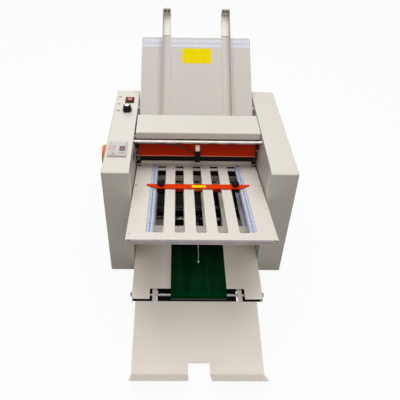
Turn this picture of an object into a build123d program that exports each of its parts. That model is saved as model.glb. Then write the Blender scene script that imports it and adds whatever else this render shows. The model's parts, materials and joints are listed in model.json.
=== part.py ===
from build123d import *
import math
import os

# Desktop paper folding machine: a friction feed on a sloping table, a zigzag stack of six fold
# rollers, four buckle plates and a short belt that carries the folded sheets to a tray.
# X points to the right as seen from the delivery end, Y to the feed end and Z up, in millimetres.
# The origin is on the table, on the mid plane, under the middle of the machine's whole length.
# Places called setback are distances behind the front faces of the two side covers, and places
# called level are heights above the lower edges of those covers.

# Clearances
seat_gap = 0.03
run_gap = 0.05
part_gap = 0.3
slip_gap = 0.5
cut_over = 2.0

# Stance and side covers
foot_height = 15.0
cover_front = -133.0
cover_depth = 467.0
cover_height = 369.0
cover_width = 73.5
gap_width = 373.0
cover_wall = 1.5
cover_corner = 4.0
cover_return = 40.0

# Base pan, feet and the free holes for a stand
pan_sheet = 2.0
pan_wall = 20.0
foot_radius = 20.0
foot_taper = 3.0
foot_inset = 45.0
stand_spacing_x = 300.0
stand_spacing_y = 330.0
stand_hole_radius = 3.3

# Side frames
frame_sheet = 5.0
frame_margin = 2.0
frame_foot = 18.0
frame_corner = 12.0

# Tie bars, each a setback and a level
tie_radius = 7.0
tie_low_front_setback = 62.0
tie_low_rear_setback = 404.0
tie_low_level = 14.0
tie_mid_front_setback = 153.0
tie_mid_front_level = 125.0
tie_mid_rear_setback = 402.0
tie_mid_level = 112.0
tie_top_rear_setback = 372.0
tie_top_level = 296.0

# Fold rollers, from the top one down, odd ones in front
roller_count = 6
roller_radius = 16.0
nip_gap = 0.3
roller_rise = 28.5
roller_setback = 233.0
roller_level = 266.5
roller_length = 350.0
journal_radius = 6.0
bearing_radius = 11.0
bearing_flange_radius = 13.0
bearing_flange = 1.6
journal_overhang = 16.0

# Spur gears
gear_teeth = 19
gear_width = 10.0
gear_standoff = 4.0
feed_idler_teeth = 15
hand_gear_teeth = 20
hand_idler_teeth = 29
hand_module = 2.0
pressure_angle = 20.0
addendum_share = 0.9
dedendum_share = 1.2
tooth_thinning = 0.2
stud_radius = 5.0
stud_shoulder_radius = 9.0

# Hand wheel on the left side
hand_setback = 150.0
hand_level = 318.0
hand_wheel_radius = 33.0
hand_wheel_width = 13.5
hand_wheel_gap = 1.0
hand_wheel_hub_radius = 14.0
hand_wheel_dish = 4.0
hand_wheel_grooves = 24
hand_groove_radius = 1.6

# Motor, pulleys and belts
motor_setback = 330.0
motor_level = 74.0
motor_radius = 43.0
motor_length = 150.0
motor_boss_radius = 18.0
motor_boss = 12.0
motor_foot = 4.0
motor_foot_spread = 60.0
motor_pulley_radius = 15.0
drive_pulley_radius = 30.0
delivery_pulley_radius = 16.0
belt_width = 10.0
belt_thickness = 2.0
pulley_rim = 1.5
pulley_rim_width = 1.0
pulley_pitch = 14.0

# Feed table
feed_slope = 35.1
feed_setback = 262.0
feed_level = 287.3
feed_length = 383.8
feed_width = 359.4
feed_sheet = 1.5
feed_side_fold = 25.0
feed_end_fold = 10.0
feed_lip = 20.0
feed_lip_slope = 66.0
feed_corner = 8.0
table_boss_radius = 8.0
table_boss_first = 60.0
table_boss_second = 130.0
table_boss_drop = 13.0

# Feed roller and separator pad
feed_tyre_radius = 22.0
feed_tyre_width = 24.0
feed_tyre_pitch = 50.0
feed_tyre_count = 3
feed_along = 16.0
pad_width = 30.0
pad_length = 26.0
pad_height = 2.0
nip_play = 0.5

# Side guides and their cross rod
guide_rod_radius = 6.0
guide_rod_along = 58.7
guide_rod_height = 25.0
guide_outer = 112.0
guide_flange = 27.0
guide_sheet = 1.5
guide_wall = 28.0
guide_end = 475.0
guide_block_length = 24.0
guide_block_top = 36.0

# Tail stops on the guides
tail_start = 389.0
tail_end = 472.0
tail_height = 36.0
tail_lip = 6.0
tail_sheet = 1.5
tail_screw_radius = 3.2
tail_screw_head = 1.6
tail_screw_spread = 11.0
tail_screw_height = 24.0

# Hood over the feed roller
hood_front_setback = 207.0
hood_rear_setback = 313.0
hood_shift = 1.5
hood_level = 365.0
hood_side_gap = 2.5
hood_drop = 22.0
hood_rear_drop = 6.0
hood_side_drop = 13.0
hood_sheet = 1.5
hood_corner = 4.0
hood_pin_radius = 3.0
hood_pin_inset = 5.0
hood_pin_rise = 6.0
hood_lug_depth = 34.0

# Round cross bar in front of the hood
bar_radius = 5.0
bar_setback = 168.0
bar_level = 357.5

# Front guard, a sloping sheet below the hood
guard_setback = 203.0
guard_level = 340.0
guard_width = 353.2
guard_length = 51.5
guard_tilt = 7.8
guard_sheet = 2.0
guard_return = 8.0
guard_tab = 22.0
guard_tab_inset = 8.0

# Paper sensor on the guard
sensor_middle = 0.6
sensor_width = 16.0
sensor_depth = 12.0
sensor_top = 29.0
sensor_length = 37.5
bracket_width = 12.5
bracket_top = 14.0
bracket_sheet = 1.5
sensor_nose = 5.0
cable_drop = 6.0
cable_radius = 1.5
cable_hole_radius = 3.0

# Buckle plates
plate_slope = 9.53
plate_width = 366.8
plate_sheet = 1.5
plate_throat = 3.0
plate_side_fold = 14.0
plate_mouth_gap = 6.2
plate_mouth_rise = 2.0
upper_front_length = 415.7
lower_front_length = 309.5
rear_length = 270.0
slot_count = 5
slot_pitch = 53.0
slot_width = 25.0
slot_start = 16.0
slot_land = 30.7
slot_corner = 3.0
throat_strip = 15.0
throat_window = 17.0
throat_shift = 5.0
lip_width = 344.0
lip_start = -2.0
lip_depth = 3.0
lip_height = 10.3
bracket_inner = 175.3
bracket_depth = 4.0
bracket_height = 12.0
rail_width = 344.0
rail_depth = 2.5
rail_height = 10.5
rail_lip = 2.5
plate_pin_radius = 5.0
plate_pin_reach = 10.0
plate_pin_first = 42.0
plate_pin_second = 150.0

# Plate stops and their clamp knobs
stop_end_room = 35.4
stop_depth = 24.0
stop_tip = 3.0
stop_taper = 28.0
stop_sheet = 2.5
stop_finger_width = 18.0
stop_finger_drop = 11.0
stop_finger_sheet = 2.0
upper_stop_along = 156.0
lower_stop_along = 81.0
rear_stop_along = 120.0
knob_radius = 10.5
knob_height = 11.0
knob_neck = 3.0
knob_neck_radius = 6.5
knob_lobes = 10
knob_groove_radius = 2.0
clamp_screw_radius = 2.5
clamp_plate_width = 34.0
spacer_width = 24.0
spacer_depth = 12.0
clamp_plate_depth = 20.0
clamp_plate_sheet = 3.0

# Scale strips stuck to the plates and the feed table
strip_height = 0.3
strip_width = 18.0
strip_middle = 127.6
strip_start = 3.0
feed_strip_start = 346.0
feed_strip_width = 33.0
feed_strip_inset = 3.0

# Round head screws
screw_radius = 3.6
screw_height = 2.2
screw_shank_radius = 2.0
screw_shank = 4.0
plate_screw_inset = 6.4
plate_screw_count = 4
plate_screw_start = 20.0
cover_screw_count = 3
cover_screw_inset = 20.0
cover_screw_level = 11.0

# Delivery belt, rollers and plate
delivery_slope = 5.0
axle_setback = -121.0
axle_level = 27.0
axle_radius = 4.0
axle_nut_radius = 7.0
axle_nut = 5.5
delivery_roller_radius = 12.0
delivery_roller_room = 24.0
delivery_belt_width = 160.0
delivery_belt_shift = 4.3
delivery_belt_sheet = 1.2
delivery_rim = 3.0
delivery_width = 370.0
delivery_nose = 21.0
delivery_tail = 298.0
delivery_rise = 11.3
delivery_sheet = 1.5
delivery_side_fold = 18.0
recess_width = 270.0
recess_depth = 14.0
delivery_boss_radius = 6.0
delivery_boss_first = 190.0
delivery_boss_second = 285.0
rear_journal_radius = 5.0

# Dark sheet below the front roller
under_front = -11.0
under_rear = 37.0
under_drop = 15.5
under_sheet = 1.5
under_tab = 12.4
under_notch = 14.2
under_bridge = 12.0

# Hold-down rod over the delivery belt
hold_setback = 105.0
hold_level = 118.0
hold_middle = 6.0
hold_bar_radius = 5.0
hold_sleeve_radius = 9.0
hold_sleeve_width = 14.0
hold_rod_radius = 1.6
hold_ball_radius = 3.8
hold_ball_along = 106.0

# Receiving tray
tray_slope = 13.6
tray_setback = -150.0
tray_level = 34.5
tray_length = 201.0
tray_width = 341.0
tray_shift = -3.5
tray_sheet = 1.5
tray_lip = 61.0
tray_lip_angle = 47.0
tray_notch_width = 57.0
tray_notch_depth = 29.0
tray_arm_width = 13.0
tray_arm_middle = 121.0
tray_arm_reach = 16.0
tray_arm_leg = 12.0
tray_hook_wall = 3.4
tray_hook_mouth = 70.0

# Power switch, speed control and counter in the top of the left cover
switch_middle = -214.5
switch_setback = 395.5
switch_width = 28.5
switch_length = 37.0
switch_rim = 2.5
switch_body_inset = 2.5
switch_body_drop = 24.0
rocker_width = 15.0
rocker_length = 25.0
rocker_rise = 6.0
rocker_drop = 5.0
rocker_valley = 2.5
rocker_tilt = 9.0
rocker_pin_radius = 1.3
rocker_pin = 1.2
speed_middle = -217.0
speed_setback = 326.0
speed_knob_radius = 14.2
speed_knob_height = 17.0
speed_knob_taper = 1.6
speed_cap_radius = 6.5
speed_cap_height = 1.5
speed_knob_gap = 1.0
speed_knob_ribs = 18
speed_rib_radius = 1.1
speed_shaft_radius = 3.0
speed_bush_radius = 5.0
speed_body_radius = 12.0
speed_body_drop = 12.0
speed_nut_radius = 7.5
speed_nut_height = 2.5
counter_middle = -225.5
counter_setback = 106.0
counter_width = 52.0
counter_length = 70.0
counter_rim = 5.0
counter_body_inset = 5.0
counter_body_drop = 30.0
counter_window_width = 16.0
counter_window_length = 26.0
counter_window_drop = 1.2
counter_window_shift = 13.3
counter_button_radius = 5.0
counter_button_shift_x = -10.0
counter_button_shift_y = -22.0
counter_button_rise = 2.5
counter_button_drop = 6.0
counter_button_travel = 1.0

# Mains inlet in the rear wall of the right cover
inlet_middle = 224.0
inlet_level = 60.0
inlet_width = 28.0
inlet_height = 20.0
inlet_flange = 5.0
inlet_flange_sheet = 3.0
inlet_depth = 22.0
inlet_well = 15.0
inlet_wall = 2.5
inlet_pin_width = 2.0
inlet_pin_height = 4.0
inlet_pin_length = 11.0
inlet_pin_pitch = 7.0

# Derived places
cover_bottom = foot_height
cover_top = foot_height + cover_height
cover_rear = cover_front + cover_depth
gap_half = gap_width / 2
outer_half = gap_half + cover_width
frame_inner = gap_half + slip_gap
frame_outer = frame_inner + frame_sheet
pan_top = cover_bottom + pan_wall
gear_start = frame_outer + gear_standoff
gear_end = gear_start + gear_width
journal_end = frame_outer + journal_overhang
drive_start = journal_end + seat_gap
delivery_drive_start = drive_start + pulley_pitch
centre_distance = 2 * roller_radius + nip_gap
delivery_roller_spacing = delivery_tail + delivery_roller_room
stop_base = screw_height + part_gap
stop_width = plate_width - 2 * stop_end_room
roller_offset = math.sqrt(centre_distance**2 - roller_rise**2)
gear_module = centre_distance / gear_teeth


def place(setback, level):
    """Y and Z of a point given as a setback and a level."""
    return cover_front + setback, cover_bottom + level


def block(x0, x1, y0, y1, z0, z1):
    """Box between six faces."""
    return Pos((x0 + x1) / 2, (y0 + y1) / 2, (z0 + z1) / 2) * Box(x1 - x0, y1 - y0, z1 - z0)


def bar(x0, x1, y, z, radius):
    """Round bar along X."""
    return Pos((x0 + x1) / 2, y, z) * Rot(0, 90, 0) * Cylinder(radius, x1 - x0)


def ring(x0, x1, y, z, outer, inner):
    """Round bar along X with a hole."""
    return bar(x0, x1, y, z, outer) - bar(x0 - cut_over, x1 + cut_over, y, z, inner)


def disc(x, y, z0, z1, radius):
    """Upright round bar."""
    return Pos(x, y, (z0 + z1) / 2) * Cylinder(radius, z1 - z0)


def across(face, x0, x1):
    """Solid of a flat outline in Y and Z, from x0 to x1."""
    return extrude(Plane.YZ.offset(x0) * face, x1 - x0)


def both_sides(shape):
    """A piece and its mirror image across the mid plane."""
    return [shape, mirror(shape, Plane.YZ)]


# Places of the main axes, each as Y and Z
roller_places = []
for index in range(roller_count):
    row_y, row_z = place(roller_setback, roller_level - index * roller_rise)
    roller_places.append((row_y + roller_offset * (index % 2), row_z))
feed_low = place(feed_setback, feed_level)
feed_frame = Pos(0, *feed_low) * Rot(feed_slope, 0, 0)
hand_place = place(hand_setback, hand_level)
motor_place = place(motor_setback, motor_level)
bar_place = place(bar_setback, bar_level)
hood_pin_place = place(hood_front_setback + hood_pin_inset, hood_level - hood_drop + hood_pin_rise)
guard_frame = Pos(0, *place(guard_setback, guard_level)) * Rot(-guard_tilt, 0, 0)
axle_place = place(axle_setback, axle_level)
delivery_frame = Pos(0, *axle_place) * Rot(delivery_slope, 0, 0)
hold_place = place(hold_setback, hold_level)
tie_places = [
    place(tie_low_front_setback, tie_low_level),
    place(tie_low_rear_setback, tie_low_level),
    place(tie_mid_front_setback, tie_mid_front_level),
    place(tie_mid_rear_setback, tie_mid_level),
    place(tie_top_rear_setback, tie_top_level),
]


def in_frame(frame, y, z):
    """Y and Z of a point given in a sloping frame."""
    spot = (frame * Pos(0, y, z)).position
    return spot.Y, spot.Z


feed_roller_height = pad_height + nip_play + feed_tyre_radius
feed_roller_place = in_frame(feed_frame, feed_along, feed_roller_height)
guide_rod_place = in_frame(feed_frame, guide_rod_along, guide_rod_height)
rear_roller_place = in_frame(delivery_frame, delivery_roller_spacing, 0)


def front_plate_frame(roller):
    """Frame of a front plate: its mouth faces this roller of the rear row."""
    y, z = roller_places[roller]
    mouth = Pos(0, y - roller_radius - plate_mouth_gap, z + plate_mouth_rise)
    return mouth * Rot(0, 0, 180) * Rot(plate_slope, 0, 0)


def rear_plate_frame(roller):
    """Frame of a rear plate: its mouth faces this roller of the front row."""
    y, z = roller_places[roller]
    mouth = Pos(0, y + roller_radius + plate_mouth_gap, z + plate_mouth_rise)
    return mouth * Rot(plate_slope, 0, 0)


upper_front = front_plate_frame(1)
upper_rear = rear_plate_frame(2)
lower_front = front_plate_frame(3)
lower_rear = rear_plate_frame(4)


# Gears
def involute(angle):
    """Involute function of a pressure angle in radians."""
    return math.tan(angle) - angle


def gear_outline(teeth, module, phase):
    """Face of a spur gear with a tooth centred on the phase angle, in degrees."""
    pitch_radius = teeth * module / 2
    base_radius = pitch_radius * math.cos(math.radians(pressure_angle))
    tip_radius = pitch_radius + addendum_share * module
    root_radius = pitch_radius - dedendum_share * module
    flank_start_radius = max(base_radius, root_radius)
    half_pitch = math.pi / (2 * teeth) - tooth_thinning / (2 * pitch_radius)
    start = involute(math.radians(pressure_angle))

    def half_angle(radius):
        return half_pitch + start - involute(math.acos(min(1, base_radius / radius)))

    def spot(radius, angle):
        return radius * math.cos(angle), radius * math.sin(angle)

    middle_radius = (flank_start_radius + tip_radius) / 2
    pitch = 2 * math.pi / teeth
    edges = []
    for tooth in range(teeth):
        centre = math.radians(phase) + tooth * pitch
        low = half_angle(flank_start_radius)
        middle = half_angle(middle_radius)
        high = half_angle(tip_radius)
        right_root = spot(root_radius, centre - low)
        right_foot = spot(flank_start_radius, centre - low)
        right_tip = spot(tip_radius, centre - high)
        left_tip = spot(tip_radius, centre + high)
        left_foot = spot(flank_start_radius, centre + low)
        left_root = spot(root_radius, centre + low)
        next_root = spot(root_radius, centre + pitch - low)
        if root_radius < flank_start_radius:
            edges.append(Line(right_root, right_foot))
            edges.append(Line(left_foot, left_root))
        edges.append(ThreePointArc(right_foot, spot(middle_radius, centre - middle), right_tip))
        edges.append(ThreePointArc(right_tip, spot(tip_radius, centre), left_tip))
        edges.append(ThreePointArc(left_tip, spot(middle_radius, centre + middle), left_foot))
        edges.append(Line(left_root, next_root))
    return make_face(edges)


def gear(teeth, module, phase, spot, bore, start, end):
    """Spur gear on an X axis through a place in Y and Z."""
    face = Pos(*spot) * gear_outline(teeth, module, phase)
    return across(face, start, end) - bar(start - cut_over, end + cut_over, *spot, bore)


def direction(here, there):
    """Angle in degrees of the line from one place to another."""
    return math.degrees(math.atan2(there[1] - here[1], there[0] - here[0]))


def mesh_phase(phase, teeth, here, next_teeth, there):
    """Phase of the next gear that meshes with this one at rest."""
    line = direction(here, there)
    return line + 180 - (phase - line) * teeth / next_teeth - 180 / next_teeth


def meeting_place(here, reach_here, there, reach_there):
    """Place at given distances from two others, on the left of the line between them."""
    gap_y = there[0] - here[0]
    gap_z = there[1] - here[1]
    span = math.hypot(gap_y, gap_z)
    along = (reach_here**2 - reach_there**2 + span**2) / (2 * span)
    aside = math.sqrt(max(0, reach_here**2 - along**2))
    y = here[0] + (along * gap_y - aside * gap_z) / span
    z = here[1] + (along * gap_z + aside * gap_y) / span
    return y, z


# Gear places and phases
stack_phases = [0.0]
for index in range(1, roller_count):
    here = roller_places[index - 1]
    there = roller_places[index]
    stack_phases.append(mesh_phase(stack_phases[-1], gear_teeth, here, gear_teeth, there))
feed_reach = gear_module * (gear_teeth + feed_idler_teeth) / 2
feed_idler_place = meeting_place(feed_roller_place, feed_reach, roller_places[0], feed_reach)
feed_idler_phase = mesh_phase(stack_phases[0], gear_teeth, roller_places[0], feed_idler_teeth, feed_idler_place)
feed_gear_phase = mesh_phase(feed_idler_phase, feed_idler_teeth, feed_idler_place, gear_teeth, feed_roller_place)
hand_reach = hand_module * (hand_gear_teeth + hand_idler_teeth) / 2
hand_idler_place = meeting_place(roller_places[0], hand_reach, hand_place, hand_reach)
hand_idler_phase = mesh_phase(0, hand_gear_teeth, roller_places[0], hand_idler_teeth, hand_idler_place)
hand_gear_phase = mesh_phase(hand_idler_phase, hand_idler_teeth, hand_idler_place, hand_gear_teeth, hand_place)


# Stance
def base_pan():
    """Sheet pan under the whole machine, with its free holes for a stand."""
    half = outer_half - cover_wall - slip_gap
    front = cover_front + cover_wall + slip_gap
    rear = cover_rear - cover_wall - slip_gap
    pan = block(-half, half, front, rear, cover_bottom, pan_top)
    pan = fillet(pan.edges().filter_by(Axis.Z), cover_corner - cover_wall)
    inner = half - pan_sheet
    well = block(-inner, inner, front + pan_sheet, rear - pan_sheet, cover_bottom + pan_sheet, pan_top + cut_over)
    pan -= fillet(well.edges().filter_by(Axis.Z), cover_corner - cover_wall - pan_sheet)
    for spot in cover_screw_places():
        pan -= bar(-outer_half, outer_half, *spot, screw_shank_radius + seat_gap)
    middle = (cover_front + cover_rear) / 2
    for x in (-stand_spacing_x / 2, stand_spacing_x / 2):
        for y in (middle - stand_spacing_y / 2, middle + stand_spacing_y / 2):
            pan -= disc(x, y, cover_bottom - cut_over, cover_bottom + pan_sheet + cut_over, stand_hole_radius)
    return pan


def rubber_feet():
    """Four tapered feet under the pan."""
    feet = []
    for x in (-outer_half + foot_inset, outer_half - foot_inset):
        for y in (cover_front + foot_inset, cover_rear - foot_inset):
            foot = Pos(x, y, foot_height / 2) * Cone(foot_radius - foot_taper, foot_radius, foot_height)
            feet.append(foot)
    return feet


def side_frame():
    """Right side plate with every hole, pin and boss that it carries on both sides."""
    front = cover_front + cover_return + frame_margin
    rear = cover_rear - cover_return - frame_margin
    bottom = cover_bottom + pan_sheet
    top = cover_top - cover_wall - slip_gap
    plate = block(frame_inner, frame_outer, front, rear, bottom, top)
    plate = fillet(plate.edges().filter_by(Axis.X).group_by(Axis.Z)[-1], frame_corner)
    plate += block(frame_inner, frame_outer + frame_foot, front, rear, bottom, bottom + frame_sheet)
    holes = [(spot, bearing_radius) for spot in roller_places]
    holes.append((feed_roller_place, bearing_radius))
    holes.append((rear_roller_place, bearing_radius))
    holes.append((bar_place, bar_radius + seat_gap))
    holes.append((guide_rod_place, guide_rod_radius + seat_gap))
    holes.append((hood_pin_place, hood_pin_radius + run_gap))
    holes.append((hold_place, hold_bar_radius + seat_gap))
    holes.append((motor_place, bearing_radius))
    for spot, radius in holes:
        plate -= bar(frame_inner - cut_over, frame_outer + cut_over, *spot, radius)
    for frame in (upper_front, upper_rear, lower_front, lower_rear):
        for along in (plate_pin_first, plate_pin_second):
            drop = plate_side_fold + part_gap + plate_pin_radius
            spot = in_frame(frame, along, -drop)
            plate += bar(frame_inner - plate_pin_reach, frame_outer, *spot, plate_pin_radius)
    for along in (table_boss_first, table_boss_second):
        spot = in_frame(feed_frame, along, -table_boss_drop)
        plate += bar(feed_width / 2, frame_outer, *spot, table_boss_radius)
    for along in (delivery_boss_first, delivery_boss_second):
        spot = in_frame(delivery_frame, along, delivery_rise - delivery_side_fold / 2)
        plate += bar(delivery_width / 2, frame_outer, *spot, delivery_boss_radius)
    return plate


def stud(spot):
    """Shouldered pin for an idler gear, on the outer face of a right side plate."""
    shoulder = bar(frame_outer, gear_start - part_gap, *spot, stud_shoulder_radius)
    return shoulder + bar(frame_outer, gear_end + part_gap, *spot, stud_radius)


def right_side_frame():
    """Right side plate with the feed idler's stud."""
    return side_frame() + stud(feed_idler_place)


def left_side_frame():
    """Left side plate with the hand wheel's bearing, the hand idler's stud and the cable hole."""
    plate = side_frame() + stud(hand_idler_place)
    plate -= bar(frame_inner - cut_over, frame_outer + cut_over, *hand_place, bearing_radius)
    cable_y, cable_z = cable_points[-1].Y, cable_points[-1].Z
    plate -= bar(frame_inner - cut_over, frame_outer + cut_over, cable_y, cable_z, cable_hole_radius)
    return mirror(plate, Plane.YZ)


def tie_bars():
    """Five bars between the side plates, the hold-down rod's cross bar and the side guides' rod."""
    bars = []
    for spot in tie_places:
        bars.append(bar(-frame_inner, frame_inner, *spot, tie_radius))
    bars.append(bar(-frame_outer, frame_outer, *hold_place, hold_bar_radius))
    bars.append(bar(-frame_outer, frame_outer, *guide_rod_place, guide_rod_radius))
    return bars


def side_cover():
    """Right side cover, a sheet shell open below and towards the machine."""
    shell = block(gap_half, outer_half, cover_front, cover_rear, cover_bottom, cover_top)
    shell = fillet(outer_edges(shell, gap_half, cover_bottom), cover_corner)
    inner_top = cover_top - cover_wall
    front = cover_front + cover_wall
    rear = cover_rear - cover_wall
    hollow = block(gap_half + cover_wall, outer_half - cover_wall, front, rear, cover_bottom - cut_over, inner_top)
    hollow = fillet(outer_edges(hollow, gap_half + cover_wall, cover_bottom - cut_over), cover_corner - cover_wall)
    shell -= hollow
    window_front = cover_front + cover_return
    window_rear = cover_rear - cover_return
    side = (gap_half - cut_over, gap_half + cover_wall + cut_over)
    shell -= block(*side, window_front, window_rear, cover_bottom - cut_over, inner_top)
    shell -= block(*side, front, rear, cover_bottom - cut_over, pan_top + slip_gap)
    return shell


def outer_edges(shape, inner_x, bottom_z):
    """Edges of a box that are on neither its inner face nor its bottom."""
    inside = inner_x + slip_gap
    above = bottom_z + slip_gap
    return [edge for edge in shape.edges() if edge.center().X > inside and edge.center().Z > above]


def cover_screw_places():
    """Places of the screws in the side face of a right cover, as Y and Z."""
    spots = []
    for row in range(cover_screw_count):
        share = row / (cover_screw_count - 1)
        y = cover_front + cover_screw_inset + share * (cover_depth - 2 * cover_screw_inset)
        spots.append((y, cover_bottom + cover_screw_level))
    return spots


def right_side_cover():
    """Right cover with the inlet's opening and its screw holes."""
    cover = side_cover()
    level = cover_bottom + inlet_level
    width = inlet_width / 2 + seat_gap
    height = inlet_height / 2 + seat_gap
    sides = (inlet_middle - width, inlet_middle + width)
    rear = (cover_rear - cover_wall - cut_over, cover_rear + cut_over)
    cover -= block(*sides, *rear, level - height, level + height)
    return cut_cover_screws(cover)


def cut_cover_screws(cover):
    """A right cover with holes for its side screws."""
    for spot in cover_screw_places():
        cover -= bar(outer_half - cover_wall - cut_over, outer_half + cut_over, *spot, screw_shank_radius + seat_gap)
    return cover


def left_side_cover():
    """Left cover with openings for the hand wheel's shaft and the three controls."""
    cover = mirror(cut_cover_screws(side_cover()), Plane.YZ)
    shaft_hole = journal_radius + hand_wheel_gap
    cover -= bar(-outer_half - cut_over, -outer_half + cover_wall + cut_over, *hand_place, shaft_hole)
    walls = (cover_top - cover_wall - cut_over, cover_top + cut_over)
    cover -= control_block(switch_middle, switch_setback, switch_width, switch_length, switch_body_inset, seat_gap, *walls)
    cover -= control_block(counter_middle, counter_setback, counter_width, counter_length, counter_body_inset, seat_gap, *walls)
    cover -= disc(speed_middle, cover_front + speed_setback, *walls, speed_bush_radius + seat_gap)
    return cover


def control_block(middle, setback, width, length, inset, gap, z0, z1):
    """Box for the sunk body of a control, or with a gap for its opening."""
    y = cover_front + setback
    half_width = width / 2 - inset + gap
    half_length = length / 2 - inset + gap
    return block(middle - half_width, middle + half_width, y - half_length, y + half_length, z0, z1)


# Controls
def power_switch_body():
    """Switch bezel on the cover and its body below, with a well for the rocker."""
    y = cover_front + switch_setback
    half_width = switch_width / 2
    half_length = switch_length / 2
    rim = block(switch_middle - half_width, switch_middle + half_width, y - half_length, y + half_length,
                cover_top, cover_top + switch_rim)
    rim = chamfer(rim.faces().sort_by(Axis.Z)[-1].edges(), switch_rim / 3)
    body = rim + control_block(switch_middle, switch_setback, switch_width, switch_length, switch_body_inset, 0,
                               cover_top - switch_body_drop, cover_top)
    well_width = rocker_width / 2 + part_gap
    well_length = rocker_length / 2 + 2 * slip_gap
    well_floor = cover_top + switch_rim - rocker_drop - 2 * rocker_rise / 3
    body -= block(switch_middle - well_width, switch_middle + well_width, y - well_length, y + well_length,
                  well_floor, cover_top + switch_rim + cut_over)
    pin = rocker_width / 2 + rocker_pin + part_gap
    return body - bar(switch_middle - pin, switch_middle + pin, *rocker_place(), rocker_pin_radius + run_gap)


def rocker_place():
    """Y and Z of the rocker's axis."""
    return cover_front + switch_setback, cover_top + switch_rim - rocker_drop / 2


def power_switch_rocker():
    """Rocker key with a shallow valley across its top."""
    y, z = rocker_place()
    low = z - rocker_drop / 2
    high = z + rocker_drop / 2 + rocker_rise / 2
    half = rocker_length / 2
    inset = rocker_drop / 2
    sides = Polyline((y - half + inset, low), (y + half - inset, low), (y + half - part_gap, high),
                     (y, high - rocker_valley), (y - half + part_gap, high), close=True)
    key = across(make_face(sides), switch_middle - rocker_width / 2, switch_middle + rocker_width / 2)
    key = key.rotate(Axis((0, y, z), (1, 0, 0)), -rocker_tilt)
    pin = rocker_width / 2 + rocker_pin
    return key + bar(switch_middle - pin, switch_middle + pin, y, z, rocker_pin_radius)


def speed_knob():
    """Ribbed round knob with a pale cap and a bore for the control's shaft."""
    y = cover_front + speed_setback
    bottom = cover_top + speed_nut_height + speed_knob_gap
    top = bottom + speed_knob_height
    middle = Pos(speed_middle, y, (bottom + top) / 2)
    knob = middle * Cone(speed_knob_radius, speed_knob_radius - speed_knob_taper, speed_knob_height)
    knob = fillet(knob.faces().sort_by(Axis.Z)[-1].edges(), speed_knob_taper)
    for rib in range(speed_knob_ribs):
        turn = Pos(speed_middle, y, 0) * Rot(0, 0, 360 * rib / speed_knob_ribs)
        knob -= turn * disc(speed_knob_radius, 0, bottom - cut_over, top - speed_knob_taper * 2, speed_rib_radius)
    knob += disc(speed_middle, y, top, top + speed_cap_height, speed_cap_radius)
    return knob - disc(speed_middle, y, bottom - cut_over, bottom + speed_knob_height / 2, speed_shaft_radius + run_gap)


def speed_control():
    """Rotary control below the cover, its bush through the wall, its nut and its shaft."""
    y = cover_front + speed_setback
    under = cover_top - cover_wall
    body = disc(speed_middle, y, under - speed_body_drop, under, speed_body_radius)
    body += disc(speed_middle, y, under, cover_top + speed_nut_height, speed_bush_radius)
    body += disc(speed_middle, y, cover_top, cover_top + speed_nut_height, speed_nut_radius)
    shaft_top = cover_top + speed_nut_height + speed_knob_gap + speed_knob_height / 2 - part_gap
    return body + disc(speed_middle, y, cover_top, shaft_top, speed_shaft_radius)


def counter_housing():
    """Sheet counter: a rim on the cover, a sunk body, a display recess and a button hole."""
    y = cover_front + counter_setback
    half_width = counter_width / 2
    half_length = counter_length / 2
    top = cover_top + counter_rim
    rim = block(counter_middle - half_width, counter_middle + half_width, y - half_length, y + half_length,
                cover_top, top)
    rim = fillet(rim.edges().filter_by(Axis.Z), counter_rim / 2)
    rim = chamfer(rim.faces().sort_by(Axis.Z)[-1].edges(), counter_rim / 4)
    body = rim + control_block(counter_middle, counter_setback, counter_width, counter_length, counter_body_inset, 0,
                               cover_top - counter_body_drop, cover_top)
    window = counter_middle + counter_window_shift
    body -= block(window - counter_window_width / 2, window + counter_window_width / 2,
                  y - counter_window_length / 2, y + counter_window_length / 2, top - counter_window_drop, top + cut_over)
    button_x, button_y = counter_button_place()
    floor = top - counter_button_travel - counter_button_drop
    return body - disc(button_x, button_y, floor, top + cut_over, counter_button_radius + part_gap)


def counter_button_place():
    """X and Y of the counter's button."""
    return counter_middle + counter_button_shift_x, cover_front + counter_setback + counter_button_shift_y


def counter_reset_button():
    """Round button that stands proud of the counter."""
    x, y = counter_button_place()
    top = cover_top + counter_rim + counter_button_rise
    button = disc(x, y, cover_top + counter_rim + counter_button_rise - counter_button_drop, top, counter_button_radius)
    return fillet(button.faces().sort_by(Axis.Z)[-1].edges(), counter_button_rise / 3)


def mains_inlet():
    """Three pin appliance inlet in the rear wall of the right cover."""
    z = cover_bottom + inlet_level
    half_width = inlet_width / 2
    half_height = inlet_height / 2
    flange = block(inlet_middle - half_width - inlet_flange, inlet_middle + half_width + inlet_flange,
                   cover_rear, cover_rear + inlet_flange_sheet,
                   z - half_height - inlet_flange / 2, z + half_height + inlet_flange / 2)
    flange = fillet(flange.edges().filter_by(Axis.Y), inlet_flange / 2)
    body = flange + block(inlet_middle - half_width, inlet_middle + half_width,
                          cover_rear - inlet_depth, cover_rear, z - half_height, z + half_height)
    rear = cover_rear + inlet_flange_sheet
    body -= block(inlet_middle - half_width + inlet_wall, inlet_middle + half_width - inlet_wall,
                  rear - inlet_well, rear + cut_over, z - half_height + inlet_wall, z + half_height - inlet_wall)
    for step in (-1, 0, 1):
        x = inlet_middle + step * inlet_pin_pitch
        rise = inlet_pin_height / 2 * (1 if step == 0 else -1)
        body += block(x - inlet_pin_width / 2, x + inlet_pin_width / 2, rear - inlet_well, rear - inlet_well + inlet_pin_length,
                      z + rise - inlet_pin_height / 2, z + rise + inlet_pin_height / 2)
    return body


# Fold rollers and their drive
def bearing(spot, bore):
    """Flanged bush in the right side plate."""
    body = bar(frame_inner, frame_outer, *spot, bearing_radius - seat_gap)
    body += bar(frame_inner - bearing_flange, frame_inner, *spot, bearing_flange_radius)
    return body - bar(frame_inner - bearing_flange - cut_over, frame_outer + cut_over, *spot, bore + run_gap)


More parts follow.
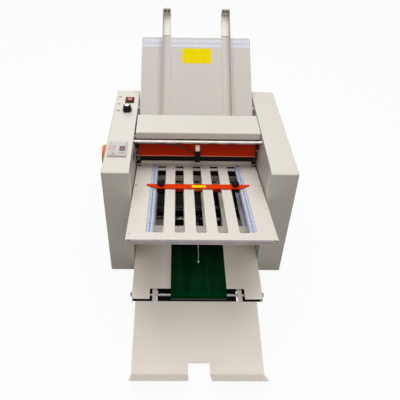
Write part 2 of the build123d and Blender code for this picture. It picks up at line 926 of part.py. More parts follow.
def roller_bearings():
    """Bushes of the fold rollers, the feed roller, the rear belt roller and the hand wheel."""
    bushes = []
    for spot in [*roller_places, feed_roller_place]:
        bushes += both_sides(bearing(spot, journal_radius))
    bushes += both_sides(bearing(rear_roller_place, rear_journal_radius))
    bushes.append(mirror(bearing(hand_place, journal_radius), Plane.YZ))
    return bushes


def pulley(spot, radius, bore, start):
    """Flat belt pulley with two thin rims."""
    end = start + belt_width + 2 * pulley_rim_width
    wheel = bar(start, end, *spot, radius)
    wheel += bar(start, start + pulley_rim_width, *spot, radius + pulley_rim)
    wheel += bar(end - pulley_rim_width, end, *spot, radius + pulley_rim)
    return wheel - bar(start - cut_over, end + cut_over, *spot, bore + seat_gap)


def fold_roller(index):
    """One rubber covered roller with its journals, and the gear on its right end."""
    spot = roller_places[index]
    half = roller_length / 2
    left = frame_outer + part_gap
    if index == 0:
        left = journal_end
    right = journal_end
    if index == roller_count - 1:
        right = delivery_drive_start + belt_width + 2 * pulley_rim_width
    roller = bar(-half, half, *spot, roller_radius) + bar(-left, right, *spot, journal_radius)
    pieces = [roller]
    bore = journal_radius + seat_gap
    pieces.append(gear(gear_teeth, gear_module, stack_phases[index], spot, bore, gear_start, gear_end))
    if index == 0:
        pieces.append(gear(hand_gear_teeth, hand_module, 0, spot, bore, -gear_end, -gear_start))
    if index == roller_count - 1:
        pieces.append(pulley(spot, drive_pulley_radius, journal_radius, drive_start))
        pieces.append(pulley(spot, delivery_pulley_radius, journal_radius, delivery_drive_start))
    return pieces


def feed_idler_gear():
    """Gear between the top fold roller and the feed roller."""
    bore = stud_radius + run_gap
    return gear(feed_idler_teeth, gear_module, feed_idler_phase, feed_idler_place, bore, gear_start, gear_end)


def hand_idler_gear():
    """Gear between the top fold roller and the hand wheel."""
    bore = stud_radius + run_gap
    return gear(hand_idler_teeth, hand_module, hand_idler_phase, hand_idler_place, bore, -gear_end, -gear_start)


def hand_wheel():
    """Grooved hand wheel with its shaft, and the gear on the shaft."""
    inner = outer_half + hand_wheel_gap
    outer = inner + hand_wheel_width
    y, z = hand_place
    wheel = bar(-outer, -inner, y, z, hand_wheel_radius)
    wheel = chamfer(wheel.edges().filter_by(GeomType.CIRCLE), hand_groove_radius)
    dish = ring(-outer - cut_over, -outer + hand_wheel_dish, y, z,
                hand_wheel_radius - 2 * hand_wheel_dish, hand_wheel_hub_radius)
    wheel -= dish
    for groove in range(hand_wheel_grooves):
        angle = 2 * math.pi * groove / hand_wheel_grooves
        spot = (y + hand_wheel_radius * math.cos(angle), z + hand_wheel_radius * math.sin(angle))
        wheel -= bar(-outer - cut_over, -inner + cut_over, *spot, hand_groove_radius)
    wheel += bar(-inner, -frame_inner, y, z, journal_radius)
    bore = journal_radius + seat_gap
    pinion = gear(hand_gear_teeth, hand_module, hand_gear_phase, hand_place, bore, -gear_end, -gear_start)
    return [wheel, pinion]


def motor():
    """Round motor lying across the base on a bent sheet foot, its shaft through the side plate."""
    y, z = motor_place
    end = frame_inner - part_gap - motor_boss
    start = end - motor_length
    body = bar(start, end, y, z, motor_radius)
    body = chamfer(body.edges().filter_by(GeomType.CIRCLE), motor_boss / 4)
    body += bar(end, end + motor_boss, y, z, motor_boss_radius)
    body -= bar(end, end + motor_boss + cut_over, y, z, rear_journal_radius + run_gap)
    floor = cover_bottom + pan_sheet
    body += block(start + motor_boss, end - motor_boss, y - motor_foot_spread, y + motor_foot_spread,
                  floor, floor + motor_foot)
    for side in (-1, 1):
        leg = side * motor_radius / 2
        body += block(start + motor_boss, end - motor_boss, y + leg - motor_foot / 2, y + leg + motor_foot / 2,
                      floor, z - motor_radius / 2)
    return body


def motor_pulley():
    """Motor shaft and its small pulley."""
    y, z = motor_place
    end = drive_start + belt_width + 2 * pulley_rim_width
    shaft = bar(frame_inner - motor_boss, end, y, z, rear_journal_radius)
    return [shaft, pulley(motor_place, motor_pulley_radius, rear_journal_radius, drive_start)]


def belt(here, radius_here, there, radius_there, start):
    """Flat belt round two pulleys."""
    def loop(gap):
        circles = Pos(*here) * Circle(radius_here + gap) + Pos(*there) * Circle(radius_there + gap)
        return make_hull(circles.edges())
    face = loop(part_gap + belt_thickness) - loop(part_gap)
    inner = start + pulley_rim_width + part_gap
    return across(face, inner, inner + belt_width - 2 * part_gap)


def drive_belts():
    """Motor belt and the belt that drives the delivery."""
    last = roller_places[-1]
    return [
        belt(motor_place, motor_pulley_radius, last, drive_pulley_radius, drive_start),
        belt(rear_roller_place, delivery_pulley_radius, last, delivery_pulley_radius, delivery_drive_start),
    ]


# Feed table
def feed_plate():
    """Sloping sheet table with folded sides, a folded top edge and a steeper lip at its foot."""
    half = feed_width / 2
    sheet = block(-half, half, 0, feed_length, -feed_sheet, 0)
    sheet = fillet(sheet.edges().filter_by(Axis.Z).group_by(Axis.Y)[-1], feed_corner)
    inner = half - feed_sheet
    side = block(inner, half, 0, feed_length - feed_corner, -feed_side_fold, -feed_sheet / 2)
    sheet += side
    sheet += mirror(side, Plane.YZ)
    sheet += block(-half + feed_corner, half - feed_corner, feed_length - feed_sheet, feed_length,
                   -feed_end_fold, -feed_sheet / 2)
    lip = Rot(feed_lip_slope - feed_slope, 0, 0) * block(-lip_width / 2, lip_width / 2, -feed_lip, feed_sheet / 2,
                                                        -feed_sheet, 0)
    return feed_frame * (sheet + lip)


def separator_pad():
    """Friction pad under the middle feed tyre."""
    pad = block(-pad_width / 2, pad_width / 2, feed_along - pad_length / 2, feed_along + pad_length / 2, 0, pad_height)
    return feed_frame * chamfer(pad.faces().sort_by(Axis.Z)[-1].edges(), pad_height / 4)


def feed_roller():
    """Feed shaft with its tyres, and the gear on its right end."""
    roller = bar(-frame_outer - part_gap, journal_end, *feed_roller_place, journal_radius)
    for index in range(feed_tyre_count):
        middle = (index - (feed_tyre_count - 1) / 2) * feed_tyre_pitch
        tyre = bar(middle - feed_tyre_width / 2, middle + feed_tyre_width / 2, *feed_roller_place, feed_tyre_radius)
        roller += chamfer(tyre.edges().filter_by(GeomType.CIRCLE), feed_tyre_width / 12)
    bore = journal_radius + seat_gap
    wheel = gear(gear_teeth, gear_module, feed_gear_phase, feed_roller_place, bore, gear_start, gear_end)
    return [roller, wheel]


def feed_guide():
    """Right side guide: an angle rail on the table and the block that slides on the cross rod."""
    inner = guide_outer - guide_flange
    start = guide_rod_along - guide_block_length / 2
    base = part_gap + strip_height
    rail = block(inner, guide_outer, start, guide_end, base, base + guide_sheet)
    rail += block(guide_outer - guide_sheet, guide_outer, start, guide_end, base, base + guide_wall)
    rail += block(inner, guide_outer, start, start + guide_block_length, base, guide_block_top)
    rail -= bar(inner - cut_over, guide_outer + cut_over, guide_rod_along, guide_rod_height, guide_rod_radius + run_gap)
    return feed_frame * rail


def tail_stop():
    """Right tail stop: a slide on the rail's flange with an upright end plate and two screws."""
    inner = guide_outer - guide_flange + part_gap
    outer = guide_outer - guide_sheet - part_gap
    base = part_gap + strip_height + guide_sheet + part_gap
    slide = block(inner, outer, tail_start, tail_end, base, base + tail_sheet)
    slide += block(inner, inner + tail_sheet, tail_start, tail_end, base, base + tail_lip)
    slide += block(inner, outer, tail_end - 2 * tail_sheet, tail_end, base, tail_height)
    middle = (inner + outer) / 2
    for side in (-1, 1):
        head = Pos(middle + side * tail_screw_spread / 2, tail_end - 2 * tail_sheet - tail_screw_head / 2, tail_screw_height)
        slide += head * Rot(90, 0, 0) * Cylinder(tail_screw_radius, tail_screw_head)
    return feed_frame * slide


# Hood, bar and guard
def hood():
    """Lift-up sheet hood with a deep front fold, side lugs and two hinge pins."""
    half = gap_half - hood_side_gap
    front, top = place(hood_front_setback, hood_level)
    rear = cover_front + hood_rear_setback
    bottom = top - hood_drop
    shell = block(-half, half, front, rear, bottom, top)
    shell = fillet(shell.edges().filter_by(Axis.X).group_by(Axis.Z)[-1], hood_corner)
    shell -= block(-half + hood_sheet, half - hood_sheet, front + hood_sheet, rear - hood_sheet,
                   bottom - cut_over, top - hood_sheet)
    shell -= block(-half - cut_over, half + cut_over, front + hood_lug_depth, rear + cut_over,
                   bottom - cut_over, top - hood_side_drop)
    shell -= block(-half + hood_sheet, half - hood_sheet, rear - hood_sheet - cut_over, rear + cut_over,
                   bottom - cut_over, top - hood_rear_drop)
    pin = bar(half - hood_sheet - hood_shift, frame_outer - slip_gap, *hood_pin_place, hood_pin_radius)
    return Pos(hood_shift, 0, 0) * shell + pin + mirror(pin, Plane.YZ)


def cross_bar():
    """Polished round bar between the side plates."""
    return bar(-frame_outer, frame_outer, *bar_place, bar_radius)


def front_guard():
    """Finger guard with a folded lower edge, and end tabs that meet the side plates."""
    half = guard_width / 2
    sheet = block(-half, half, 0, guard_sheet, -guard_length, 0)
    sheet += block(-half, half, 0, guard_return, -guard_length, -guard_length + guard_sheet)
    tab = block(half - guard_sheet, half, 0, guard_tab_inset + guard_sheet, -guard_tab - guard_tab_inset, -guard_tab_inset)
    tab += block(half - guard_sheet, frame_inner, guard_tab_inset, guard_tab_inset + guard_sheet,
                 -guard_tab - guard_tab_inset, -guard_tab_inset)
    sheet += tab
    sheet += mirror(tab, Plane.YZ)
    return guard_frame * sheet


def sensor_bracket():
    """Small bent bracket on the front of the guard."""
    half = bracket_width / 2
    leg = block(sensor_middle - half, sensor_middle + half, -bracket_sheet, 0, -sensor_top, -bracket_top)
    leg += block(sensor_middle - half, sensor_middle + half, -sensor_depth, 0, -sensor_top, -sensor_top + bracket_sheet)
    return guard_frame * leg


def sensor_body():
    """Slim sensor that hangs from the bracket in front of the guard."""
    half = sensor_width / 2
    low = -sensor_top - sensor_length
    body = block(sensor_middle - half, sensor_middle + half, -sensor_depth - bracket_sheet, -bracket_sheet, low, -sensor_top)
    body = chamfer(body.edges().filter_by(Axis.X).group_by(Axis.Z)[0], sensor_depth / 4)
    nose = block(sensor_middle - half / 2, sensor_middle + half / 2, -sensor_depth - bracket_sheet - sensor_nose,
                 -sensor_depth - bracket_sheet, low + sensor_depth, low + 2 * sensor_depth)
    return guard_frame * (body + nose)


def cable_route():
    """Hand chosen points of the sensor's cable, from the sensor to beyond the left side plate."""
    outlet = guard_frame * Pos(0, -sensor_depth / 2, -sensor_top - cable_drop)
    y, z = outlet.position.Y, outlet.position.Z
    chosen = [(-7.4, y, z), (-19.0, y, z), (-31.0, 57.5, 333.5), (-46.0, 57.0, 343.0), (-66.0, 56.5, 348.4),
              (-92.0, 56.0, 351.0), (-122.0, 56.5, 352.5), (-152.0, 57.2, 351.6), (-177.0, 57.6, 351.3),
              (-199.0, 57.5, 351.4)]
    return [Vector(*point) for point in chosen]


def corner_radii(points):
    """As large an arc at each corner as its two runs allow."""
    radii = []
    for before, corner, after in zip(points, points[1:], points[2:]):
        run_in = corner - before
        run_out = after - corner
        half_turn = math.radians(run_in.get_angle(run_out)) / 2
        shorter = min(run_in.length, run_out.length)
        radii.append(0.45 * shorter / math.tan(half_turn))
    return radii


cable_points = cable_route()
cable_radii = corner_radii(cable_points)


def sensor_cable():
    """Thin cable from the sensor through the left side plate."""
    path = FilletPolyline(*cable_points, radius=cable_radii)
    section = Plane(origin=path @ 0, z_dir=path % 0) * Circle(cable_radius)
    cable = sweep(section, path=path)
    expected = math.pi * cable_radius**2 * path.length
    print("cable length", round(path.length, 1), "radii", [round(radius) for radius in cable_radii],
          "volume share", round(cable.volume / expected, 4))
    return cable


# Buckle plates
def slot_middles():
    """X of each slot."""
    return [(index - (slot_count - 1) / 2) * slot_pitch for index in range(slot_count)]


def buckle_plate(frame, length):
    """Two slotted sheets with a throat between them, folded sides and a raised mouth lip.

    The lower sheet keeps a strip across the start of the upper slots, with a window at its mouth side.
    """
    half = plate_width / 2
    under = plate_sheet + plate_throat
    body = block(-half, half, 0, length, -plate_sheet, 0)
    body += block(-half, half, 0, length, -under - plate_sheet, -under)
    side = block(half - plate_sheet, half, 0, length + rail_depth, -plate_side_fold, 0)
    body += side
    body += mirror(side, Plane.YZ)
    body += block(-lip_width / 2, lip_width / 2, lip_start, lip_start + lip_depth, -plate_sheet / 2, lip_height)
    slot_end = length - slot_land
    window_end = slot_start + throat_shift
    for x in slot_middles():
        sides = (x - slot_width / 2, x + slot_width / 2)
        upper_slot = block(*sides, slot_start, slot_end, -under / 2, cut_over)
        lower_slot = block(*sides, window_end + throat_strip, slot_end, -under - plate_sheet - cut_over, -under / 2)
        window = block(*sides, window_end - throat_window, window_end, -under - plate_sheet - cut_over, -under / 2)
        for slot in (upper_slot, lower_slot, window):
            body -= fillet(slot.edges().filter_by(Axis.Z), slot_corner)
    for spot in plate_screw_places(length):
        body -= disc(*spot, -plate_sheet - plate_throat / 2, cut_over, screw_shank_radius + seat_gap)
    return frame * body


def corner_bracket(frame, side):
    """Small block at one rear corner of a plate, beside the mouth lip."""
    edges = sorted((side * bracket_inner, side * plate_width / 2))
    bracket = block(*edges, lip_start, lip_start + bracket_depth, 0, bracket_height)
    return frame * chamfer(bracket.faces().sort_by(Axis.Z)[-1].edges(), bracket_depth / 8)


def upper_front_plate():
    """Upper front plate with its two corner brackets."""
    plate = buckle_plate(upper_front, upper_front_length)
    return [plate, corner_bracket(upper_front, 1), corner_bracket(upper_front, -1)]


def plate_screw_places(length):
    """X and Y of the screws along both sides of a plate."""
    x = plate_width / 2 - plate_screw_inset
    last = length - plate_screw_start
    spots = []
    for index in range(plate_screw_count):
        y = plate_screw_start + (last - plate_screw_start) * index / (plate_screw_count - 1)
        spots += [(-x, y), (x, y)]
    return spots


def end_rail(frame, length):
    """Aluminium rail that closes the free end of a plate."""
    rail = block(-rail_width / 2, rail_width / 2, length, length + rail_depth, -rail_height, 0)
    rail += block(-rail_width / 2, rail_width / 2, length, length + rail_depth + rail_lip, -rail_height, -rail_height + rail_lip)
    return frame * rail


def scale_strip(frame, length, side):
    """Thin scale strip along one side of a plate."""
    x = side * strip_middle
    return frame * block(x - strip_width / 2, x + strip_width / 2, strip_start, length - slot_land, 0, strip_height)


def scale_strips():
    """Scales of the two front plates and the feed table."""
    strips = []
    for frame, length in ((upper_front, upper_front_length), (lower_front, lower_front_length)):
        for side in (-1, 1):
            strips.append(scale_strip(frame, length, side))
    half = feed_width / 2 - feed_strip_inset
    strips.append(feed_frame * block(-half, half, feed_strip_start, feed_strip_start + feed_strip_width, 0, strip_height))
    return strips


def screw():
    """Round head screw, its seat at the origin and its head upwards."""
    head = Pos(0, 0, screw_height / 2) * Cylinder(screw_radius, screw_height)
    head = fillet(head.faces().sort_by(Axis.Z)[-1].edges(), screw_height / 2)
    return head + Pos(0, 0, -screw_shank / 2) * Cylinder(screw_shank_radius, screw_shank)


def panel_screws():
    """Screws of the upper front plate and of both side covers."""
    screws = []
    shank = plate_sheet + plate_throat / 2 - seat_gap
    for x, y in plate_screw_places(upper_front_length):
        head = screw() - disc(0, 0, -screw_shank - cut_over, -shank, screw_radius)
        screws.append(upper_front * Pos(x, y, 0) * head)
    for y, z in cover_screw_places():
        screws.append(Pos(outer_half, y, z) * Rot(0, 90, 0) * screw())
        screws.append(Pos(-outer_half, y, z) * Rot(0, -90, 0) * screw())
    return screws


def clamp_middles():
    """X of the two clamp knobs, over the outermost slots."""
    middles = slot_middles()
    return middles[0], middles[-1]


def plate_stop(frame, along):
    """Paper stop across a plate on two spacers, fingers down through its slots and two clamp plates below."""
    base = stop_base
    top = base + stop_sheet
    half = stop_width / 2
    deep = stop_depth / 2
    rear = along - deep
    shoulder = half - stop_taper
    outline = Polyline((-half, rear), (half, rear), (half, rear + stop_tip), (shoulder, along + deep),
                       (-shoulder, along + deep), (-half, rear + stop_tip), close=True)
    body = Pos(0, 0, base) * extrude(make_face(outline), stop_sheet)
    for x in clamp_middles():
        body += block(x - spacer_width / 2, x + spacer_width / 2, along - spacer_depth / 2,
                      along + spacer_depth / 2, part_gap, base)
    for x in slot_middles()[1:-1]:
        body += block(x - stop_finger_width / 2, x + stop_finger_width / 2, along - deep, along - deep + stop_finger_sheet,
                      -stop_finger_drop, top)
    pieces = []
    under = -2 * plate_sheet - plate_throat - part_gap
    for x in clamp_middles():
        body -= disc(x, along, 0, top + cut_over, clamp_screw_radius + run_gap)
        clamp = block(x - clamp_plate_width / 2, x + clamp_plate_width / 2, along - clamp_plate_depth / 2,
                      along + clamp_plate_depth / 2, under - clamp_plate_sheet, under)
        clamp -= disc(x, along, under - clamp_plate_sheet - cut_over, under + cut_over, clamp_screw_radius + run_gap)
        pieces.append(frame * clamp)
    return [frame * body, *pieces]


def clamp_knob(frame, along, x):
    """Fluted knob with its screw down through a slot to the clamp plate."""
    base = stop_base + stop_sheet + part_gap
    low = base + knob_neck
    high = low + knob_height
    knob = disc(x, along, low, high, knob_radius)
    knob = fillet(knob.faces().sort_by(Axis.Z)[-1].edges(), knob_neck / 2)
    for lobe in range(knob_lobes):
        angle = 2 * math.pi * lobe / knob_lobes
        knob -= disc(x + knob_radius * math.cos(angle), along + knob_radius * math.sin(angle),
                     low - cut_over, high + cut_over, knob_groove_radius)
    knob += disc(x, along, base, low, knob_neck_radius)
    bottom = -2 * plate_sheet - plate_throat - part_gap - clamp_plate_sheet
    return frame * (knob + disc(x, along, bottom, base, clamp_screw_radius))


def clamped_stop(frame, along):
    """Stop of a hidden plate, with its two knobs tightened."""
    return plate_stop(frame, along) + [clamp_knob(frame, along, x) for x in clamp_middles()]


# Delivery
def delivery_plate():
    """Sheet below the belt's upper run, folded down at the sides and open round the front roller."""
    half = delivery_width / 2
    top = delivery_rise
    sheet = block(-half, half, -delivery_nose, delivery_tail, top - delivery_sheet, top)
    sheet -= block(-recess_width / 2, recess_width / 2, -delivery_nose - cut_over, recess_depth, top - 2 * delivery_sheet,
                   top + cut_over)
    side = block(half - delivery_sheet, half, -delivery_nose, delivery_tail, top - delivery_side_fold, top)
    side -= bar(half - delivery_sheet - cut_over, half + cut_over, 0, 0, axle_radius + seat_gap)
    sheet += side
    sheet += mirror(side, Plane.YZ)
    return delivery_frame * sheet


def delivery_belt():
    """Wide belt round the front and rear rollers."""
    def loop(gap):
        radius = delivery_roller_radius + gap
        circles = Circle(radius) + Pos(delivery_roller_spacing, 0) * Circle(radius)
        return make_hull(circles.edges())
    face = loop(part_gap + delivery_belt_sheet) - loop(part_gap)
    half = delivery_belt_width / 2
    return delivery_frame * across(face, delivery_belt_shift - half, delivery_belt_shift + half)


def under_sheet_pan():
    """Dark sheet below the front roller, turned up at both ends and open where the tray hooks pass."""
    half = delivery_width / 2 - delivery_sheet - seat_gap
    low = -under_drop - under_sheet
    sheet = block(-half, half, under_front, under_rear, low, -under_drop)
    end = block(half - under_sheet, half, under_front, under_rear, low, low + under_tab)
    sheet += end
    sheet += mirror(end, Plane.YZ)
    for side in (-1, 1):
        notch = (side * tray_arm_middle - under_notch / 2, side * tray_arm_middle + under_notch / 2)
        sheet -= block(*notch, under_front - cut_over, under_rear - under_bridge, low - cut_over, -under_drop + cut_over)
    return delivery_frame * sheet


def front_axle():
    """Fixed chrome axle of the front roller with a nut at each end, and the dark sheet below it."""
    half = delivery_width / 2
    axle = bar(-half, half, *axle_place, axle_radius)
    nut = across(Pos(*axle_place) * RegularPolygon(axle_nut_radius, 6), half, half + axle_nut)
    return [axle + nut + mirror(nut, Plane.YZ), under_sheet_pan()]


def delivery_front_roller():
    """Tube that turns on the fixed axle inside the belt."""
    half = delivery_belt_width / 2 - delivery_rim
    sides = (delivery_belt_shift - half, delivery_belt_shift + half)
    return ring(*sides, *axle_place, delivery_roller_radius, axle_radius + run_gap)


def delivery_rear_roller():
    """Driven belt roller with its journals, and its pulley on the right."""
    half = delivery_belt_width / 2 + delivery_rim
    end = delivery_drive_start + belt_width + 2 * pulley_rim_width
    roller = bar(delivery_belt_shift - half, delivery_belt_shift + half, *rear_roller_place, delivery_roller_radius)
    roller += bar(-frame_outer - part_gap, end, *rear_roller_place, rear_journal_radius)
    return [roller, pulley(rear_roller_place, delivery_pulley_radius, rear_journal_radius, delivery_drive_start)]


def hold_down_rod():
    """Thin rod with a ball end that rests above the belt and swings on its cross bar."""
    ball_height = delivery_roller_radius + part_gap + delivery_belt_sheet + part_gap + hold_ball_radius
    ball_y, ball_z = in_frame(delivery_frame, hold_ball_along, ball_height)
    y, z = hold_place
    start = Vector(hold_middle, y, z)
    end = Vector(hold_middle, ball_y, ball_z)
    line = (end - start).normalized()
    root = start + line * (hold_bar_radius + run_gap + (hold_sleeve_radius - hold_bar_radius) / 2)
    rod_length = (end - root).length
    rod = Plane(origin=root, z_dir=line) * Pos(0, 0, rod_length / 2) * Cylinder(hold_rod_radius, rod_length)
    half = hold_sleeve_width / 2
    sleeve = ring(hold_middle - half, hold_middle + half, y, z, hold_sleeve_radius, hold_bar_radius + run_gap)
    return sleeve + rod + Pos(*end) * Sphere(hold_ball_radius)


def receiving_tray():
    """Sloping catch tray with a bent-up lip, a finger notch and two hook arms on the front axle."""
    near_y, near_z = place(tray_setback, tray_level)
    tray_frame = Pos(tray_shift, near_y, near_z) * Rot(tray_slope, 0, 0)
    half = tray_width / 2
    sheet = tray_frame * block(-half, half, -tray_length, 0, -tray_sheet, 0)
    fold = tray_frame * Pos(0, -tray_length, 0)
    lip_frame = Pos(*fold.position) * Rot(-tray_lip_angle, 0, 0)
    lip = lip_frame * block(-half, half, -tray_lip, 0, -tray_sheet, 0)
    sheet += lip
    sheet += Pos(*fold.position) * Rot(0, 90, 0) * Cylinder(tray_sheet, tray_width)
    notch = tray_notch_width / 2
    fold_y = fold.position.Y
    sheet -= block(-notch, notch, fold_y - 2 * tray_lip, fold_y + tray_notch_depth, -tray_lip, near_z + tray_lip)
    axle_y, axle_z = axle_place
    hook_radius = axle_radius + run_gap + tray_hook_wall
    for side in (-1, 1):
        x = side * tray_arm_middle
        arm = (x - tray_arm_width / 2, x + tray_arm_width / 2)
        hook = bar(*arm, axle_y, axle_z, hook_radius)
        arm_top = axle_z + hook_radius
        hook += block(*arm, near_y - cut_over, axle_y + tray_arm_reach, arm_top - tray_sheet, arm_top)
        hook += block(*arm, axle_y + tray_arm_reach - tray_sheet, axle_y + tray_arm_reach, arm_top - tray_arm_leg, arm_top)
        hook -= bar(arm[0] - cut_over, arm[1] + cut_over, axle_y, axle_z, axle_radius + run_gap)
        mouth = Pos(0, axle_y, axle_z) * Rot(tray_hook_mouth, 0, 0)
        hook -= mouth * block(arm[0] - cut_over, arm[1] + cut_over, -2 * hook_radius, 0, -axle_radius, axle_radius)
        sheet += hook
    return sheet


# All the sub-parts, by name
nodes = {
    "base_pan": base_pan(),
    "rubber_feet": rubber_feet(),
    "left_side_frame": left_side_frame(),
    "right_side_frame": right_side_frame(),
    "tie_bars": tie_bars(),
    "left_side_cover": left_side_cover(),
    "right_side_cover": right_side_cover(),
    "panel_screws": panel_screws(),
    "power_switch_body": power_switch_body(),
    "power_switch_rocker": power_switch_rocker(),
    "speed_control": speed_control(),
    "speed_knob": speed_knob(),
    "counter_housing": counter_housing(),
    "counter_reset_button": counter_reset_button(),
    "mains_inlet": mains_inlet(),
    "roller_bearings": roller_bearings(),
    "feed_idler_gear": feed_idler_gear(),
    "hand_idler_gear": hand_idler_gear(),
    "hand_wheel": hand_wheel(),
    "motor": motor(),
    "motor_pulley": motor_pulley(),
    "drive_belts": drive_belts(),
    "feed_plate": feed_plate(),
    "separator_pad": separator_pad(),
    "feed_roller": feed_roller(),
    "right_feed_guide": feed_guide(),
    "left_feed_guide": mirror(feed_guide(), Plane.YZ),
    "right_tail_stop": tail_stop(),
    "left_tail_stop": mirror(tail_stop(), Plane.YZ),
    "hood": hood(),
    "cross_bar": cross_bar(),
    "front_guard": front_guard(),
    "sensor_bracket": sensor_bracket(),
    "sensor_body": sensor_body(),
    "sensor_cable": sensor_cable(),
    "upper_front_plate": upper_front_plate(),
    "lower_front_plate": buckle_plate(lower_front, lower_front_length),
    "upper_rear_plate": buckle_plate(upper_rear, rear_length),
    "lower_rear_plate": buckle_plate(lower_rear, rear_length),
    "plate_end_rails": [
        end_rail(upper_front, upper_front_length),
        end_rail(lower_front, lower_front_length),
        end_rail(upper_rear, rear_length),
        end_rail(lower_rear, rear_length),
    ],
    "scale_strips": scale_strips(),
    "upper_front_stop": plate_stop(upper_front, upper_stop_along),
    "upper_stop_knob_left": clamp_knob(upper_front, upper_stop_along, clamp_middles()[1]),
    "upper_stop_knob_right": clamp_knob(upper_front, upper_stop_along, clamp_middles()[0]),
    "lower_front_stop": clamped_stop(lower_front, lower_stop_along),
    "upper_rear_stop": clamped_stop(upper_rear, rear_stop_along),
    "lower_rear_stop": clamped_stop(lower_rear, rear_stop_along),
    "delivery_plate": delivery_plate(),
    "delivery_belt": delivery_belt(),
    "front_axle": front_axle(),
    "delivery_front_roller": delivery_front_roller(),
    "delivery_rear_roller": delivery_rear_roller(),
    "hold_down_rod": hold_down_rod(),
    "receiving_tray": receiving_tray(),
}
for index in range(roller_count):
    nodes[f"fold_roller_{index + 1}"] = fold_roller(index)

if __name__ == "__main__":
    os.makedirs("parts", exist_ok=True)
    for name, shape in nodes.items():
        solids = shape if isinstance(shape, list) else [shape]
        whole = Compound(children=[solid for item in solids for solid in item.solids()])
        export_step(whole, f"parts/{name}.step")
    print(len(nodes), "nodes")
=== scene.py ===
"""Desktop paper folding machine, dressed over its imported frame.

Lengths in the classes below are millimetres unless a name says otherwise, and MM turns them into
Blender's metres. X points to the right, Y to the feed table and Z up, as in the frame.
"""
from __future__ import annotations

import json
import logging
import math
from dataclasses import dataclass, field
from enum import Enum
from typing import Iterable, Sequence

import bmesh
import bpy
from mathutils import Matrix, Vector


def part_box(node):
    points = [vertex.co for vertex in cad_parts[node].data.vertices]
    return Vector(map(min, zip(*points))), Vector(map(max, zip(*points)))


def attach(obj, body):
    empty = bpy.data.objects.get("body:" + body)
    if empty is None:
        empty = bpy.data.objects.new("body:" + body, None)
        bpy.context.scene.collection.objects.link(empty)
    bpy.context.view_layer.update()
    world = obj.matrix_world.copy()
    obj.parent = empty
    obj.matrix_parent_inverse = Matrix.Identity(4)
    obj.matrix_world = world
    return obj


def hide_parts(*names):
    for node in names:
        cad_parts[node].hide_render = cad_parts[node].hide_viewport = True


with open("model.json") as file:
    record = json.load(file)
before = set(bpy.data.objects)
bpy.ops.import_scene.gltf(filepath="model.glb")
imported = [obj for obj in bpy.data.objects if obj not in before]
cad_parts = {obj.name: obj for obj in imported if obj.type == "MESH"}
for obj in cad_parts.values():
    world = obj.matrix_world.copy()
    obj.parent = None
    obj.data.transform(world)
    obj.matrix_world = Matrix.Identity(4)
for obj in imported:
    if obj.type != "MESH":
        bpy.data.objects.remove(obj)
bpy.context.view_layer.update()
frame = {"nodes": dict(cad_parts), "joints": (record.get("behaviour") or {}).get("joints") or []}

MM = 0.001
LOG = logging.getLogger("folding_machine")
Colour = tuple[float, float, float]
Pair = tuple[float, float]
Socket = bpy.types.NodeSocket

# Black of the upper plate's corner brackets, and painted shade in black on the guard's tabs.
BRACKET_AND_SHADE_BLACK = (0.012, 0.012, 0.013)
# Black of painted shade on the hold-down rod's sleeve.
SLEEVE_SHADE_BLACK = (0.012, 0.012, 0.012)


class Grain(Enum):
    """Even noises of the finishes: repeats in a metre, detail and roughness."""

    MOTTLING = (5.5, 3.0, 0.5)
    RUBBED = (24.0, 4.0, 0.5)
    PATCH = (30.0, 4.0, 0.5)
    STAIN = (38.0, 4.0, 0.5)
    PAINT_DUST = (46.0, 4.0, 0.65)
    ROLLER_BLOOM = (60.0, 4.0, 0.5)
    RUBBER_BLOOM = (70.0, 5.0, 0.7)
    SCUFF = (90.0, 4.0, 0.6)
    WAVES = (160.0, 3.0, 0.5)
    WEAR = (420.0, 3.0, 0.5)
    PEEL = (1500.0, 2.0, 0.5)
    SPARKS = (2600.0, 2.0, 0.5)


class Stretch(Enum):
    """Noises drawn out along an axis: repeats in a metre along each axis, and detail."""

    # Lengthwise streaks that lighten the belt's colour: painted reflections.
    BELT_STREAKS = ((46.0, 3.0, 3.0), 3.0)
    BELT_WEAVE = ((1100.0, 1100.0, 300.0), 1.0)
    METAL_LINES = ((60.0, 1400.0, 1400.0), 3.0)
    RUBBER_RINGS = ((2400.0, 60.0, 60.0), 3.0)
    ROLLER_RINGS = ((2600.0, 80.0, 80.0), 3.0)


class Mark(Enum):
    """Colours of printed marks."""

    BLUE = (0.030, 0.060, 0.320)
    NAVY = (0.020, 0.035, 0.150)
    WHITE = (0.800, 0.800, 0.780)
    GREY = (0.210, 0.215, 0.225)
    RED = (0.400, 0.150, 0.150)


def joint_named(name: str) -> dict:
    """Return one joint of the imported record.

    Args:
        name: The joint's name.

    Returns:
        The joint as the record states it.
    """
    return next(joint for joint in frame["joints"] if joint["name"] == name)


def joint_place(name: str) -> tuple[float, ...]:
    """Return a joint's place in millimetres.

    Args:
        name: The joint's name.
    """
    return tuple(value / MM for value in joint_named(name)["pos_m"])


def moved(x: float, y: float, z: float) -> Matrix:
    """Return a move given in millimetres."""
    return Matrix.Translation(Vector((x, y, z)) * MM)


def turned(degrees: float, axis: str) -> Matrix:
    """Return a turn about one axis, given in degrees."""
    return Matrix.Rotation(math.radians(degrees), 4, axis)


def sloping_frame(origin: Vector, along: Sequence[float]) -> Matrix:
    """Return the frame of a plate that slopes in the YZ plane.

    Args:
        origin: Where the plate starts, in metres.
        along: Unit direction in which the plate runs.

    Returns:
        A matrix whose X is across the plate, Y along it and Z out of its upper face.
    """
    run = Vector(along).normalized()
    across = Vector((1.0 if run.y > 0 else -1.0, 0.0, 0.0))
    normal = across.cross(run)
    turn = Matrix((across, run, normal)).transposed().to_4x4()
    return Matrix.Translation(origin) @ turn


